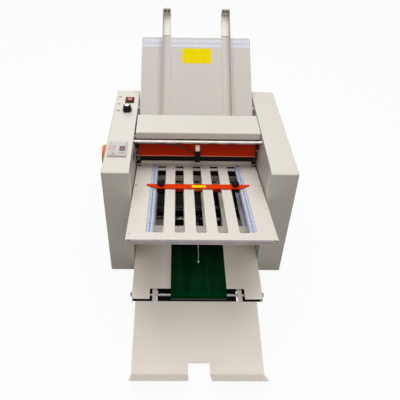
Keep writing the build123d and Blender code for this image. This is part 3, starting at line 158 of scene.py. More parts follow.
def across_frame(origin: Sequence[float], flip: bool = False) -> Matrix:
    """Return a frame whose Z lies across the machine.

    Args:
        origin: Its origin in millimetres.
        flip: Whether Z points to the left and not to the right.

    Returns:
        The frame, in metres.
    """
    turn = Vector((1.0, 0.0, 0.0)).to_track_quat("Z", "Y").to_matrix().to_4x4()
    if flip:
        turn = turn @ turned(180.0, "X")
    return Matrix.Translation([value * MM for value in origin]) @ turn


# Shader graphs


def put(node: bpy.types.Node, **values: object) -> None:
    """Set a node's sockets by name, with spaces for underscores."""
    for key, value in values.items():
        node.inputs[key.replace("_", " ")].default_value = value


def shade(colour: Colour, factor: float = 1.0) -> tuple[float, float, float, float]:
    """Return a colour made lighter or darker, with its alpha."""
    return tuple(min(1.0, channel * factor) for channel in colour) + (1.0,)


class Graph:
    """Small helper that builds one material's nodes."""

    def __init__(self, name: str) -> None:
        """Start an empty material with its shader and output.

        Args:
            name: The material's name.
        """
        self.material = bpy.data.materials.new(name)
        self.material.use_nodes = True
        self.tree = self.material.node_tree
        self.tree.nodes.clear()
        self.output = self.add("ShaderNodeOutputMaterial")
        self.shader = self.add("ShaderNodeBsdfPrincipled")
        self.place = self.add("ShaderNodeTexCoord").outputs["Object"]
        self.link(self.shader.outputs[0], self.output.inputs["Surface"])

    def add(self, kind: str, **settings: object) -> bpy.types.Node:
        """Add a node and set its properties.

        Args:
            kind: Blender's name of its type.
            **settings: Its properties by name.

        Returns:
            The node.
        """
        node = self.tree.nodes.new(kind)
        for key, value in settings.items():
            setattr(node, key, value)
        return node

    def link(self, source: Socket, target: Socket) -> None:
        """Join two sockets."""
        self.tree.links.new(source, target)

    def feed(self, value: object, target: Socket) -> None:
        """Put a number on a socket, or link another socket to it.

        Args:
            value: The number, colour or socket.
            target: The socket that takes it.
        """
        if isinstance(value, Socket):
            self.link(value, target)
        else:
            target.default_value = value

    def surface(self, **values: object) -> None:
        """Feed the shader's sockets by name, with spaces for underscores."""
        for key, value in values.items():
            self.feed(value, self.shader.inputs[key.replace("_", " ")])

    def noise(self, grain: Grain | Stretch) -> Socket:
        """Add a noise that sits in the piece.

        Args:
            grain: Which noise.

        Returns:
            Its factor.
        """
        node = self.add("ShaderNodeTexNoise")
        vector = self.place
        if isinstance(grain, Grain):
            scale, detail, rough = grain.value
            put(node, Scale=scale, Detail=detail, Roughness=rough)
        else:
            scale, detail = grain.value
            put(node, Scale=1.0, Detail=detail)
            mapping = self.add("ShaderNodeMapping")
            put(mapping, Scale=scale)
            self.link(vector, mapping.inputs["Vector"])
            vector = mapping.outputs[0]
        self.link(vector, node.inputs["Vector"])
        return node.outputs["Fac"]

    def math(self, operation: str, first: object, second: object = 0.0) -> Socket:
        """Add one sum.

        Args:
            operation: Blender's name of the sum.
            first: Its first number or socket.
            second: Its second one.

        Returns:
            Its result.
        """
        node = self.add("ShaderNodeMath", operation=operation)
        self.feed(first, node.inputs[0])
        self.feed(second, node.inputs[1])
        return node.outputs[0]

    def span(self, value: Socket, levels: Pair, result: Pair = (0.0, 1.0)) -> Socket:
        """Map one range onto another, clamped.

        Args:
            value: What is mapped.
            levels: Where it starts and ends.
            result: What it gives there.

        Returns:
            The mapped value.
        """
        node = self.add("ShaderNodeMapRange")
        self.link(value, node.inputs["Value"])
        put(node, From_Min=levels[0], From_Max=levels[1], To_Min=result[0], To_Max=result[1])
        return node.outputs[0]

    def blend(self, factor: Socket, first: object, second: object) -> Socket:
        """Mix two colours by a factor.

        Args:
            factor: Share of the second colour.
            first: A colour, or a socket that gives one.
            second: The same.

        Returns:
            The mixed colour.
        """
        node = self.add("ShaderNodeMix", data_type="RGBA")
        self.link(factor, node.inputs["Factor"])
        self.feed(first, node.inputs["A"])
        self.feed(second, node.inputs["B"])
        return node.outputs["Result"]

    def parts(self) -> tuple[Socket, ...]:
        """Return the three numbers of the place in the piece, in metres."""
        node = self.add("ShaderNodeSeparateXYZ")
        self.link(self.place, node.inputs[0])
        return tuple(node.outputs)

    def past(self, value: Socket, limit: float) -> Socket:
        """Return one where a value lies past a limit given in millimetres."""
        return self.math("GREATER_THAN", value, limit * MM)

    def bump(self, height: Socket, depth: float, soft_edge: float) -> None:
        """Roughen the surface, and round its edges to the eye.

        Args:
            height: The height factor.
            depth: Depth of the relief in millimetres.
            soft_edge: Radius of the rounded edges in millimetres.
        """
        node = self.add("ShaderNodeBump")
        put(node, Strength=1.0, Distance=depth * MM)
        self.link(height, node.inputs["Height"])
        edge = self.add("ShaderNodeBevel", samples=4)
        put(edge, Radius=soft_edge * MM)
        self.link(edge.outputs[0], node.inputs["Normal"])
        self.link(node.outputs[0], self.shader.inputs["Normal"])


@dataclass(frozen=True)
class Finish:
    """A surface finish, made once and shared by every piece that has it."""

    name: str
    colour: Colour

    @property
    def title(self) -> str:
        """Return the material's name, which no slot of the frame has."""
        return f"{self.name}_finish"

    def material(self) -> bpy.types.Material:
        """Return the finish's material, built on first use."""
        ready = bpy.data.materials.get(self.title)
        if ready is None:
            graph = Graph(self.title)
            self.paint(graph)
            ready = graph.material
        return ready

    def paint(self, graph: Graph) -> None:
        """Paint an empty material, which each kind of finish does in its own way."""
        raise NotImplementedError(self.name)

    def masked(self, graph: Graph, tint: Socket) -> Socket:
        """Return the finish's colour, which a kind of finish may mask."""
        return tint

    def uneven(self, graph: Graph, factor: Socket, levels: Pair, first: float, second: float) -> Socket:
        """Return the colour at two strengths, blended where a factor rises.

        Args:
            graph: The material's graph.
            factor: The factor.
            levels: Where the blend starts and ends.
            first: Strength of the colour below it.
            second: Strength of the colour above it.
        """
        return graph.blend(graph.span(factor, levels), shade(self.colour, first), shade(self.colour, second))


@dataclass(frozen=True)
class PowderCoat(Finish):
    """Baked powder paint on sheet metal: fine orange peel, slow mottling and soft edges."""

    roughness: float = 0.42
    peel: float = 0.012
    mottling: float = 0.02
    soft_edge: float = 0.7
    gloss: float = 0.4

    def paint(self, graph: Graph) -> None:
        """Paint an empty material.

        Args:
            graph: The material's graph.
        """
        dust = graph.noise(Grain.PAINT_DUST)
        cloud = graph.noise(Grain.MOTTLING)
        clean = self.uneven(graph, cloud, (0.3, 0.7), 1.0 - self.mottling, 1.0 + self.mottling)
        tint = graph.blend(graph.span(dust, (0.62, 0.86), (0.0, 0.06)), clean, shade(self.colour, 0.94))
        rough = graph.span(dust, (0.3, 0.8), (self.roughness - 0.01, self.roughness + 0.02))
        graph.surface(Base_Color=self.masked(graph, tint), Roughness=rough, IOR=1.48,
                      Specular_IOR_Level=self.gloss)
        graph.bump(graph.noise(Grain.PEEL), self.peel, self.soft_edge)


@dataclass(frozen=True)
class BareMetal(Finish):
    """Metal with a grain across the machine, from polished chrome to brushed or plated steel."""

    roughness: float = 0.3
    grain_depth: float = 0.004
    soft_edge: float = 0.4

    def paint(self, graph: Graph) -> None:
        """Paint an empty material.

        Args:
            graph: The material's graph.
        """
        lines = graph.noise(Stretch.METAL_LINES)
        tint = self.uneven(graph, graph.noise(Grain.STAIN), (0.35, 0.75), 1.04, 0.84)
        rough = graph.span(lines, (0.3, 0.7), (self.roughness * 0.8, self.roughness * 1.25))
        graph.surface(Base_Color=self.masked(graph, tint), Roughness=rough, Metallic=1.0)
        graph.bump(lines, self.grain_depth, self.soft_edge)


@dataclass(frozen=True)
class SleevedRod(BareMetal):
    """Polished rod, with painted shade in black on its sleeve where it goes round the cross bar."""

    sleeve: float = 11.0

    def masked(self, graph: Graph, tint: Socket) -> Socket:
        """Lay the painted shade, in black, on the sleeve over the rod's colour.

        Args:
            graph: The material's graph.
            tint: The rod's colour.

        Returns:
            The colour of rod and sleeve.
        """
        middle = joint_named("hold_down_rod_swing")["pos_m"]
        sides = [graph.math("POWER", graph.math("SUBTRACT", value, centre), 2.0)
                 for value, centre in zip(graph.parts()[1:], middle[1:])]
        reach = graph.math("SQRT", graph.math("ADD", *sides))
        near = graph.math("LESS_THAN", reach, self.sleeve * MM)
        # Painted shade: black within the sleeve's radius of the cross bar.
        return graph.blend(near, tint, shade(SLEEVE_SHADE_BLACK))


@dataclass(frozen=True)
class Moulded(Finish):
    """Moulded plastic with a spark-eroded grain, or smooth where the grain is nil."""

    roughness: float = 0.5
    grain: float = 0.015
    coat: float = 0.0
    soft_edge: float = 0.5
    gloss: float = 0.25

    def paint(self, graph: Graph) -> None:
        """Paint an empty material.

        Args:
            graph: The material's graph.
        """
        scuff = graph.noise(Grain.SCUFF)
        rough = graph.span(scuff, (0.3, 0.75), (self.roughness - 0.06, self.roughness + 0.1))
        graph.surface(Base_Color=self.uneven(graph, scuff, (0.45, 0.8), 0.96, 1.12), Roughness=rough, IOR=1.5,
                      Specular_IOR_Level=self.gloss, Coat_Weight=self.coat, Coat_Roughness=0.12)
        graph.bump(graph.noise(Grain.SPARKS), self.grain, self.soft_edge)


@dataclass(frozen=True)
class Rubber(Finish):
    """Ground rubber with fine scratches round it and paper dust on it."""

    roughness: float = 0.72
    dust: float = 0.10

    def paint(self, graph: Graph) -> None:
        """Paint an empty material.

        Args:
            graph: The material's graph.
        """
        pale = tuple(channel + self.dust for channel in self.colour)
        bloom = graph.span(graph.noise(Grain.RUBBER_BLOOM), (0.45, 0.85), (0.0, 0.8))
        tint = graph.blend(bloom, shade(self.colour), shade(pale))
        graph.surface(Base_Color=tint, Roughness=self.roughness, IOR=1.52, Specular_IOR_Level=0.2)
        graph.bump(graph.noise(Stretch.RUBBER_RINGS), 0.02, 0.5)


@dataclass(frozen=True)
class SmoothBelt(Finish):
    """Glossy belt cover, darker inside the machine where shade is painted into its colour, with lighter
    lengthwise streaks that are painted reflections, and a fine weave.
    """

    grime: Colour = (0.0004, 0.0016, 0.0006)
    fade: Pair = (-190.0, -70.0)
    sheen: Colour = (0.002, 0.50, 0.16)

    def paint(self, graph: Graph) -> None:
        """Paint an empty material.

        Args:
            graph: The material's graph.
        """
        # The lighter lengthwise streaks are painted reflections of the glossy belt.
        tint = self.uneven(graph, graph.noise(Stretch.BELT_STREAKS), (0.42, 0.78), 0.85, 1.7)
        # Painted shade: the belt turns near black from Y -190 mm to -70 mm, where it runs in under the
        # plates.
        inside = graph.span(graph.parts()[1], (self.fade[0] * MM, self.fade[1] * MM))
        rough = graph.span(graph.noise(Grain.RUBBED), (0.3, 0.75), (0.2, 0.36))
        graph.surface(Base_Color=graph.blend(inside, tint, shade(self.grime)), Roughness=rough, IOR=1.5,
                      Specular_IOR_Level=0.16, Specular_Tint=shade(self.sheen))
        graph.bump(graph.noise(Stretch.BELT_WEAVE), 0.01, 0.4)


@dataclass(frozen=True)
class RollerSkin(Finish):
    """Rubber on the middle of a roller and bare turned steel on its ends, its gear and its pulleys."""

    steel: Colour = (0.30, 0.295, 0.285)
    bloom: float = 0.006
    rubber_half: float = 175.2

    def paint(self, graph: Graph) -> None:
        """Paint an empty material.

        Args:
            graph: The material's graph.
        """
        metal = graph.past(graph.math("ABSOLUTE", graph.parts()[0]), self.rubber_half)
        bloom = graph.noise(Grain.ROLLER_BLOOM)
        pale = tuple(channel + self.bloom for channel in self.colour)
        cover = graph.blend(graph.span(bloom, (0.4, 0.8)), shade(self.colour), shade(pale))
        bare = graph.blend(bloom, shade(self.steel, 0.8), shade(self.steel, 1.1))
        graph.surface(Base_Color=graph.blend(metal, cover, bare), Metallic=metal,
                      Roughness=graph.span(metal, (0.0, 1.0), (0.68, 0.3)), Specular_IOR_Level=0.08)
        graph.bump(graph.noise(Stretch.ROLLER_RINGS), 0.015, 0.4)


@dataclass(frozen=True)
class Print(Finish):
    """Printed ink, flat and even."""

    def paint(self, graph: Graph) -> None:
        """Paint an empty material.

        Args:
            graph: The material's graph.
        """
        tint = self.uneven(graph, graph.noise(Grain.WEAR), (0.55, 0.85), 1.0, 1.35)
        graph.surface(Base_Color=tint, Roughness=0.55)


@dataclass(frozen=True)
class Film(Finish):
    """Smooth plastic film stuck to a sheet, a little uneven in its gloss."""

    roughness: float = 0.3
    gloss: float = 0.1

    def paint(self, graph: Graph) -> None:
        """Paint an empty material.

        Args:
            graph: The material's graph.
        """
        patch = graph.noise(Grain.PATCH)
        rough = graph.span(patch, (0.3, 0.8), (self.roughness - 0.05, self.roughness + 0.12))
        tint = self.uneven(graph, patch, (0.35, 0.75), 1.0, 0.93)
        graph.surface(Base_Color=tint, Roughness=rough, IOR=1.49, Specular_IOR_Level=self.gloss)
        graph.bump(graph.noise(Grain.WAVES), 0.02, 0.15)


@dataclass(frozen=True)
class BracketedPlate(PowderCoat):
    """Paint of the upper front plate, black where its two corner brackets stand."""

    bracket_side: float = 172.0
    bracket_front: float = 76.5
    bracket_low: float = 256.6

    def masked(self, graph: Graph, tint: Socket) -> Socket:
        """Lay the black of the brackets over the paint's colour.

        Args:
            graph: The material's graph.
            tint: The paint's colour.

        Returns:
            The colour of plate and brackets.
        """
        x, y, z = graph.parts()
        corner = graph.math("MULTIPLY", graph.past(graph.math("ABSOLUTE", x), self.bracket_side),
                            graph.past(y, self.bracket_front))
        here = graph.math("MULTIPLY", corner, graph.past(z, self.bracket_low))
        return graph.blend(here, tint, shade(BRACKET_AND_SHADE_BLACK))


@dataclass(frozen=True)
class TabbedGuard(PowderCoat):
    """Paint of the front guard, with painted light that makes it brighter towards its lower edge, and painted
    shade in black on the tabs past its ends.
    """

    face_half: float = 174.6
    bright: Colour = (0.52, 0.024, 0.002)
    fade: Pair = (305.0, 345.0)

    def masked(self, graph: Graph, tint: Socket) -> Socket:
        """Lay the painted light low on the guard, and the painted shade in black on the tabs, over the
        paint's colour.

        Args:
            graph: The material's graph.
            tint: The paint's colour.

        Returns:
            The colour of guard and tabs.
        """
        x, _, z = graph.parts()
        low, high = self.fade
        # Painted light: the colour turns brighter from 345 mm down to 305 mm high.
        face = graph.blend(graph.span(z, (low * MM, high * MM)), shade(self.bright), tint)
        # Painted shade: black past the guard's face, on its tabs.
        return graph.blend(graph.past(graph.math("ABSOLUTE", x), self.face_half), face, shade(BRACKET_AND_SHADE_BLACK))


# Finishes of this machine

CREAM = PowderCoat("cream_paint", (0.76, 0.73, 0.66))
PLATE_PAINT = PowderCoat("plate_paint", (0.76, 0.72, 0.65), roughness=0.36)
UPPER_PLATE_PAINT = BracketedPlate("upper_plate_paint", (0.80, 0.76, 0.69), roughness=0.36)
TABLE_PAINT = PowderCoat("table_paint", (0.60, 0.56, 0.51), roughness=0.34)
TRAY_PAINT = PowderCoat("tray_paint", (0.80, 0.74, 0.67), roughness=0.3)
# Painted light: the same paint as the tray, made lighter for light that falls on the delivery table.
LIT_DELIVERY_PAINT = PowderCoat("lit_delivery_paint", (0.99, 0.92, 0.83), roughness=0.25, gloss=0.7)
# Base pan: dark paint made near black, as painted shade of the machine's inside.
PAN_PAINT_AND_SHADE = PowderCoat("pan_paint_and_shade", (0.012, 0.012, 0.012), roughness=0.6, gloss=0.15)
FRAME_PAINT = PowderCoat("frame_paint", (0.58, 0.55, 0.51), roughness=0.5, peel=0.02)
# Motor: dark paint made near black, as painted shade of the machine's inside.
MOTOR_PAINT_AND_SHADE = PowderCoat("motor_paint_and_shade", (0.012, 0.012, 0.013), roughness=0.5, peel=0.03, gloss=0.15)
GUARD_PAINT = TabbedGuard("guard_paint", (0.27, 0.008, 0.0008), roughness=0.3, gloss=0.08)
# Painted highlight: light orange for the rolled lower edge of the guard.
HEM_HIGHLIGHT_PAINT = PowderCoat("hem_highlight_paint", (0.62, 0.16, 0.10), roughness=0.25)
TAIL_PAINT = PowderCoat("tail_paint", (0.84, 0.81, 0.76), roughness=0.3)
STOP_PAINT = PowderCoat("stop_paint", (0.80, 0.045, 0.001), roughness=0.42, gloss=0.06)
# Painted shade: the stops' orange made dark for the stops that stand deeper in the machine.
SHADED_STOP_PAINT = PowderCoat("shaded_stop_paint", (0.34, 0.014, 0.010), roughness=0.5, gloss=0.06)
BLACK_PAINT = PowderCoat("black_paint", (0.010, 0.010, 0.010), roughness=0.55, gloss=0.12)
ZINC = BareMetal("zinc_plate", (0.62, 0.61, 0.58), roughness=0.34)
SLEEVED_ROD = SleevedRod("sleeved_rod", (0.62, 0.60, 0.58), roughness=0.15, grain_depth=0.001)
# Tie bars: bare steel darkened to near black, as painted shade of the machine's inside.
BAR_STEEL_AND_SHADE = BareMetal("bar_steel_and_shade", (0.060, 0.058, 0.056), roughness=0.5)
GEAR_STEEL = BareMetal("gear_steel", (0.45, 0.44, 0.42), roughness=0.38)
CHROME = BareMetal("polished_chrome", (0.36, 0.335, 0.32), roughness=0.12, grain_depth=0.001)
ALUMINIUM = BareMetal("rail_aluminium", (0.33, 0.30, 0.30), roughness=0.34)
CAP_METAL = BareMetal("cap_metal", (0.55, 0.54, 0.54), roughness=0.3)
AXLE_METAL = BareMetal("axle_metal", (0.28, 0.27, 0.28), roughness=0.2, grain_depth=0.001)
BUSH_STEEL = BareMetal("bush_steel", (0.045, 0.042, 0.040), roughness=0.5)
BLACK_PLASTIC = Moulded("black_plastic", (0.008, 0.008, 0.009), roughness=0.42, gloss=0.1)
GLOSS_BLACK = Moulded("gloss_black_plastic", (0.008, 0.006, 0.006), roughness=0.3, grain=0.003, gloss=0.1)
GREY_PLASTIC = Moulded("grey_plastic", (0.56, 0.54, 0.51), roughness=0.45)
RED_LENS = Moulded("red_lens", (0.60, 0.018, 0.022), roughness=0.18, grain=0.002, coat=0.5)
ORANGE_PLASTIC = Moulded("orange_plastic", (0.93, 0.24, 0.08), roughness=0.4)
ROLLER_RUBBER = RollerSkin("roller_skin", (0.012, 0.012, 0.013))
BLACK_RUBBER = Rubber("black_rubber", (0.014, 0.014, 0.014), dust=0.02)
CABLE_RUBBER = Rubber("cable_sheath", (0.008, 0.008, 0.008), dust=0.006)
BELT_GREEN = SmoothBelt("belt_green", (0.0002, 0.0260, 0.0050))
SCALE_FILM = Film("scale_film", (0.71, 0.75, 0.85))
TABLE_FILM = Film("table_film", (0.82, 0.82, 0.86))
YELLOW_FILM = Film("yellow_film", (0.96, 0.77, 0.0004), roughness=0.55, gloss=0.03)
# Painted shade: the yellow film made dark for the patches on those stops.
SHADED_YELLOW_FILM = Film("shaded_yellow_film", (0.56, 0.24, 0.006), roughness=0.55, gloss=0.03)
PANEL_FILM = Film("panel_film", (0.66, 0.63, 0.60))
DARK_WINDOW = Film("dark_window", (0.235, 0.155, 0.190), roughness=0.3)
INKS = {mark: Print(f"{mark.name.lower()}_print", mark.value) for mark in Mark}


# Mesh helpers


class Shape:
    """A mesh in the making, in the machine's frame, that ends as a finished piece."""

    def __init__(self) -> None:
        """Start an empty mesh."""
        self.bm = bmesh.new()

    def added(self, before: set) -> list:
        """Return the vertices that a step added."""
        return [vert for vert in self.bm.verts if vert not in before]

    def outward(self, verts: Iterable[bmesh.types.BMVert]) -> None:
        """Turn the faces round some vertices outwards."""
        faces = list({face for vert in verts for face in vert.link_faces})
        bmesh.ops.recalc_face_normals(self.bm, faces=faces)

    def move(self, matrix: Matrix, verts: Iterable[bmesh.types.BMVert] | None = None) -> None:
        """Move some vertices, or all of them."""
        bmesh.ops.transform(self.bm, matrix=matrix, verts=self.bm.verts[:] if verts is None else verts)

    def bevel(self, edges: Iterable[bmesh.types.BMEdge], width: float, segments: int = 2) -> None:
        """Round some edges.

        Args:
            edges: The edges.
            width: Width of the bevel in millimetres.
            segments: Its steps.
        """
        bmesh.ops.bevel(self.bm, geom=list(edges), offset=width * MM, offset_type="OFFSET", segments=segments,
                        profile=0.5, affect="EDGES", clamp_overlap=True, material=-1)

    def block(self, low: Sequence[float], high: Sequence[float], bevel: float = 0.0, segments: int = 2,
              matrix: Matrix | None = None) -> list:
        """Add a block with bevelled edges.

        Args:
            low: Lowest corner in millimetres.
            high: Highest corner in millimetres.
            bevel: Width of the bevel on every edge in millimetres.
            segments: Steps of the bevel.
            matrix: The frame that the corners are given in, in metres.

        Returns:
            The block's vertices.
        """
        before = set(self.bm.verts)
        made = bmesh.ops.create_cube(self.bm, size=1.0)["verts"]
        bmesh.ops.scale(self.bm, vec=[(b - a) * MM for a, b in zip(low, high)], verts=made)
        bmesh.ops.translate(self.bm, vec=[(b + a) / 2 * MM for a, b in zip(low, high)], verts=made)
        if bevel:
            self.bevel({edge for vert in made for edge in vert.link_edges}, bevel, segments)
        made = self.added(before)
        if matrix is not None:
            self.move(matrix, made)
        return made

    def lathe(self, profile: Sequence[Pair], matrix: Matrix, steps: int = 48) -> None:
        """Add a turned shape.

        Args:
            profile: Pairs of radius and height in millimetres, from one end of the axis to the other.
            matrix: Frame whose Z is the axis and whose origin is at height nil, in metres.
            steps: Faces round the axis.
        """
        before = set(self.bm.verts)
        points = [self.bm.verts.new((radius * MM, 0.0, height * MM)) for radius, height in profile]
        edges = [self.bm.edges.new(pair) for pair in zip(points, points[1:])]
        bmesh.ops.spin(self.bm, geom=points + edges, cent=(0, 0, 0), axis=(0, 0, 1), angle=math.tau,
                       steps=steps, use_merge=True, use_duplicate=False)
        bmesh.ops.remove_doubles(self.bm, verts=self.added(before), dist=1e-6)
        made = self.added(before)
        self.outward(made)
        self.move(matrix, made)

    def flute(self, count: int, depth: float, power: int, inner: float,
              run: Pair = (-math.inf, math.inf)) -> None:
        """Press flutes into a turned shape that still stands at the origin.

        Args:
            count: Number of flutes.
            depth: Their depth as a share of the radius.
            power: How narrow the flutes are.
            inner: Radius in millimetres inside which the shape stays as it is.
            run: Heights in millimetres between which the flutes run.
        """
        for vert in self.bm.verts:
            if run[0] < vert.co.z / MM < run[1] and vert.co.to_2d().length > inner * MM:
                angle = math.atan2(vert.co.y, vert.co.x)
                vert.co.xy = vert.co.to_2d() * (1.0 - depth * (0.5 + 0.5 * math.cos(count * angle)) ** power)

    def prism(self, outline: Sequence[Pair], low: float, high: float, matrix: Matrix,
              bevel: float = 0.0) -> None:
        """Add a flat outline pushed up into a solid.

        Args:
            outline: Corners in millimetres in the frame's XY plane.
            low: Height of its lower face.
            high: Height of its upper face.
            matrix: The frame, in metres.
            bevel: Width of the bevel round the upper face, in millimetres.
        """
        before = set(self.bm.verts)
        base = self.bm.faces.new([self.bm.verts.new((x * MM, y * MM, low * MM)) for x, y in outline])
        top = self.extrude(base, high - low, keep=True)
        if bevel:
            self.bevel([edge for edge in {edge for vert in top for edge in vert.link_edges}
                        if all(vert in top for vert in edge.verts)], bevel)
        made = self.added(before)
        self.outward(made)
        self.move(matrix, made)

    def extrude(self, face: bmesh.types.BMFace, rise: float, keep: bool) -> list:
        """Push a copy of a face along Z, with walls between.

        Args:
            face: The face.
            rise: How far it goes, in millimetres.
            keep: Whether the face itself stays where it was.

        Returns:
            The vertices of the pushed face.
        """
        made = bmesh.ops.extrude_face_region(self.bm, geom=[face], use_keep_orig=keep)["geom"]
        if not keep:
            bmesh.ops.delete(self.bm, geom=[face], context="FACES_ONLY")
        verts = [item for item in made if isinstance(item, bmesh.types.BMVert)]
        bmesh.ops.translate(self.bm, vec=(0, 0, rise * MM), verts=verts)
        return verts

    def tick(self, low: Pair, high: Pair, z: float, matrix: Matrix) -> None:
        """Add one flat printed tick.

        Args:
            low: Its lower left corner in millimetres.
            high: Its upper right corner.
            z: Its height.
            matrix: The frame that these are given in.
        """
        (x0, y0), (x1, y1) = low, high
        size = Matrix.Diagonal(((x1 - x0) * MM, (y1 - y0) * MM, 1.0, 1.0))
        spot = matrix @ moved((x0 + x1) / 2, (y0 + y1) / 2, z) @ size
        bmesh.ops.create_grid(self.bm, x_segments=1, y_segments=1, size=0.5, matrix=spot)

    def text(self, words: str, size: float, matrix: Matrix, pitch: float = 0.0) -> None:
        """Add flat figures, centred on the frame's origin.

        Args:
            words: What to write, one figure to a line where pitch is given.
            size: Height of a line in millimetres.
            matrix: Frame whose X is the reading direction and whose Z faces the reader.
            pitch: Distance between lines in millimetres, downwards from the origin.
        """
        curve = bpy.data.curves.new("figures", "FONT")
        curve.body = words
        curve.size = size * MM
        curve.align_x = "CENTER"
        curve.align_y = "TOP_BASELINE" if pitch else "CENTER"
        curve.resolution_u = 2
        if pitch:
            curve.space_line = pitch / size
        carrier = bpy.data.objects.new("figures", curve)
        mesh = bpy.data.meshes.new_from_object(carrier)
        mesh.transform(matrix)
        self.bm.from_mesh(mesh)
        bpy.data.meshes.remove(mesh)
        bpy.data.objects.remove(carrier)
        bpy.data.curves.remove(curve)

    def finish(self, name: str, finish: Finish, slot: str, body: str = "machine",
               stands_for: str = "") -> None:
        """Turn the mesh into a finished piece that rides on a body.

        Args:
            name: The piece's name.
            finish: Its finish.
            slot: The name of the record's material slot; not used.
            body: The body that it moves with.
            stands_for: The CAD node that it replaces, if any.
        """
        mesh = bpy.data.meshes.new(name)
        self.bm.to_mesh(mesh)
        self.bm.free()
        mesh.shade_smooth()
        mesh.set_sharp_from_angle(angle=math.radians(35.0))
        piece = bpy.data.objects.new(name, mesh)
        bpy.context.scene.collection.objects.link(piece)
        mesh.materials.append(finish.material())
        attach(piece, body)
        if stands_for:
            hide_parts(stands_for)
        LOG.info("piece %s on %s", name, body)


# Sub-assemblies


@dataclass
class Covers:
    """Screws of the side covers, and the rubber feet below them."""

    front: float = -133.0
    depth: float = 467.0
    outer_half: float = 260.0
    screw_inset: float = 20.0
    screw_level: float = 26.0
    screw_count: int = 3
    foot_radius: float = 20.0
    foot_taper: float = 3.0
    foot_height: float = 14.9
    foot_inset: float = 45.0
    foot_bore: float = 5.0
    foot_bore_depth: float = 2.5

    def screw_frames(self) -> Iterable[Matrix]:
        """Yield the seat of each side screw, its Z outwards."""
        step = (self.depth - 2 * self.screw_inset) / (self.screw_count - 1)
        for index in range(self.screw_count):
            y = self.front + self.screw_inset + index * step
            yield across_frame((self.outer_half, y, self.screw_level))
            yield across_frame((-self.outer_half, y, self.screw_level), flip=True)

    def build_feet(self) -> None:
        """Turn the four moulded feet, each with a bore and rounded edges."""
        feet = Shape()
        high, top, bore, depth = self.foot_radius, self.foot_height, self.foot_bore, self.foot_bore_depth
        low = high - self.foot_taper
        profile = [(0, depth), (bore, depth), (bore + 0.6, 0.4), (bore + 1.2, 0), (low - 1.2, 0),
                   (low - 0.3, 0.4), (low, 1.4), (high - 0.4, top - 2.1), (high, top - 1.3), (high, top),
                   (0, top)]
        for x in (-self.outer_half + self.foot_inset, self.outer_half - self.foot_inset):
            for y in (self.front + self.foot_inset, self.front + self.depth - self.foot_inset):
                feet.lathe(profile, moved(x, y, 0))
        feet.finish("moulded_feet", BLACK_RUBBER, "black_rubber", stands_for="rubber_feet")


@dataclass
class Scale:
    """Printing of a scale strip: film, two centre lines, ticks on both edges and figures."""

    width: float
    line_gap: float
    line_width: float
    tick_width: float
    tick_margin: float
    reaches: tuple[float, float, float]
    figure_size: float
    figure_inset: float
    height: float = 0.3
    line_rise: float = 0.02
    ink_rise: float = 0.03
    tens: int = 10
    fives: int = 5

    def reach(self, mm: int) -> float:
        """Return how far the tick at a millimetre reaches in from the edge."""
        long, middle, short = self.reaches
        return long if mm % self.tens == 0 else middle if mm % self.fives == 0 else short


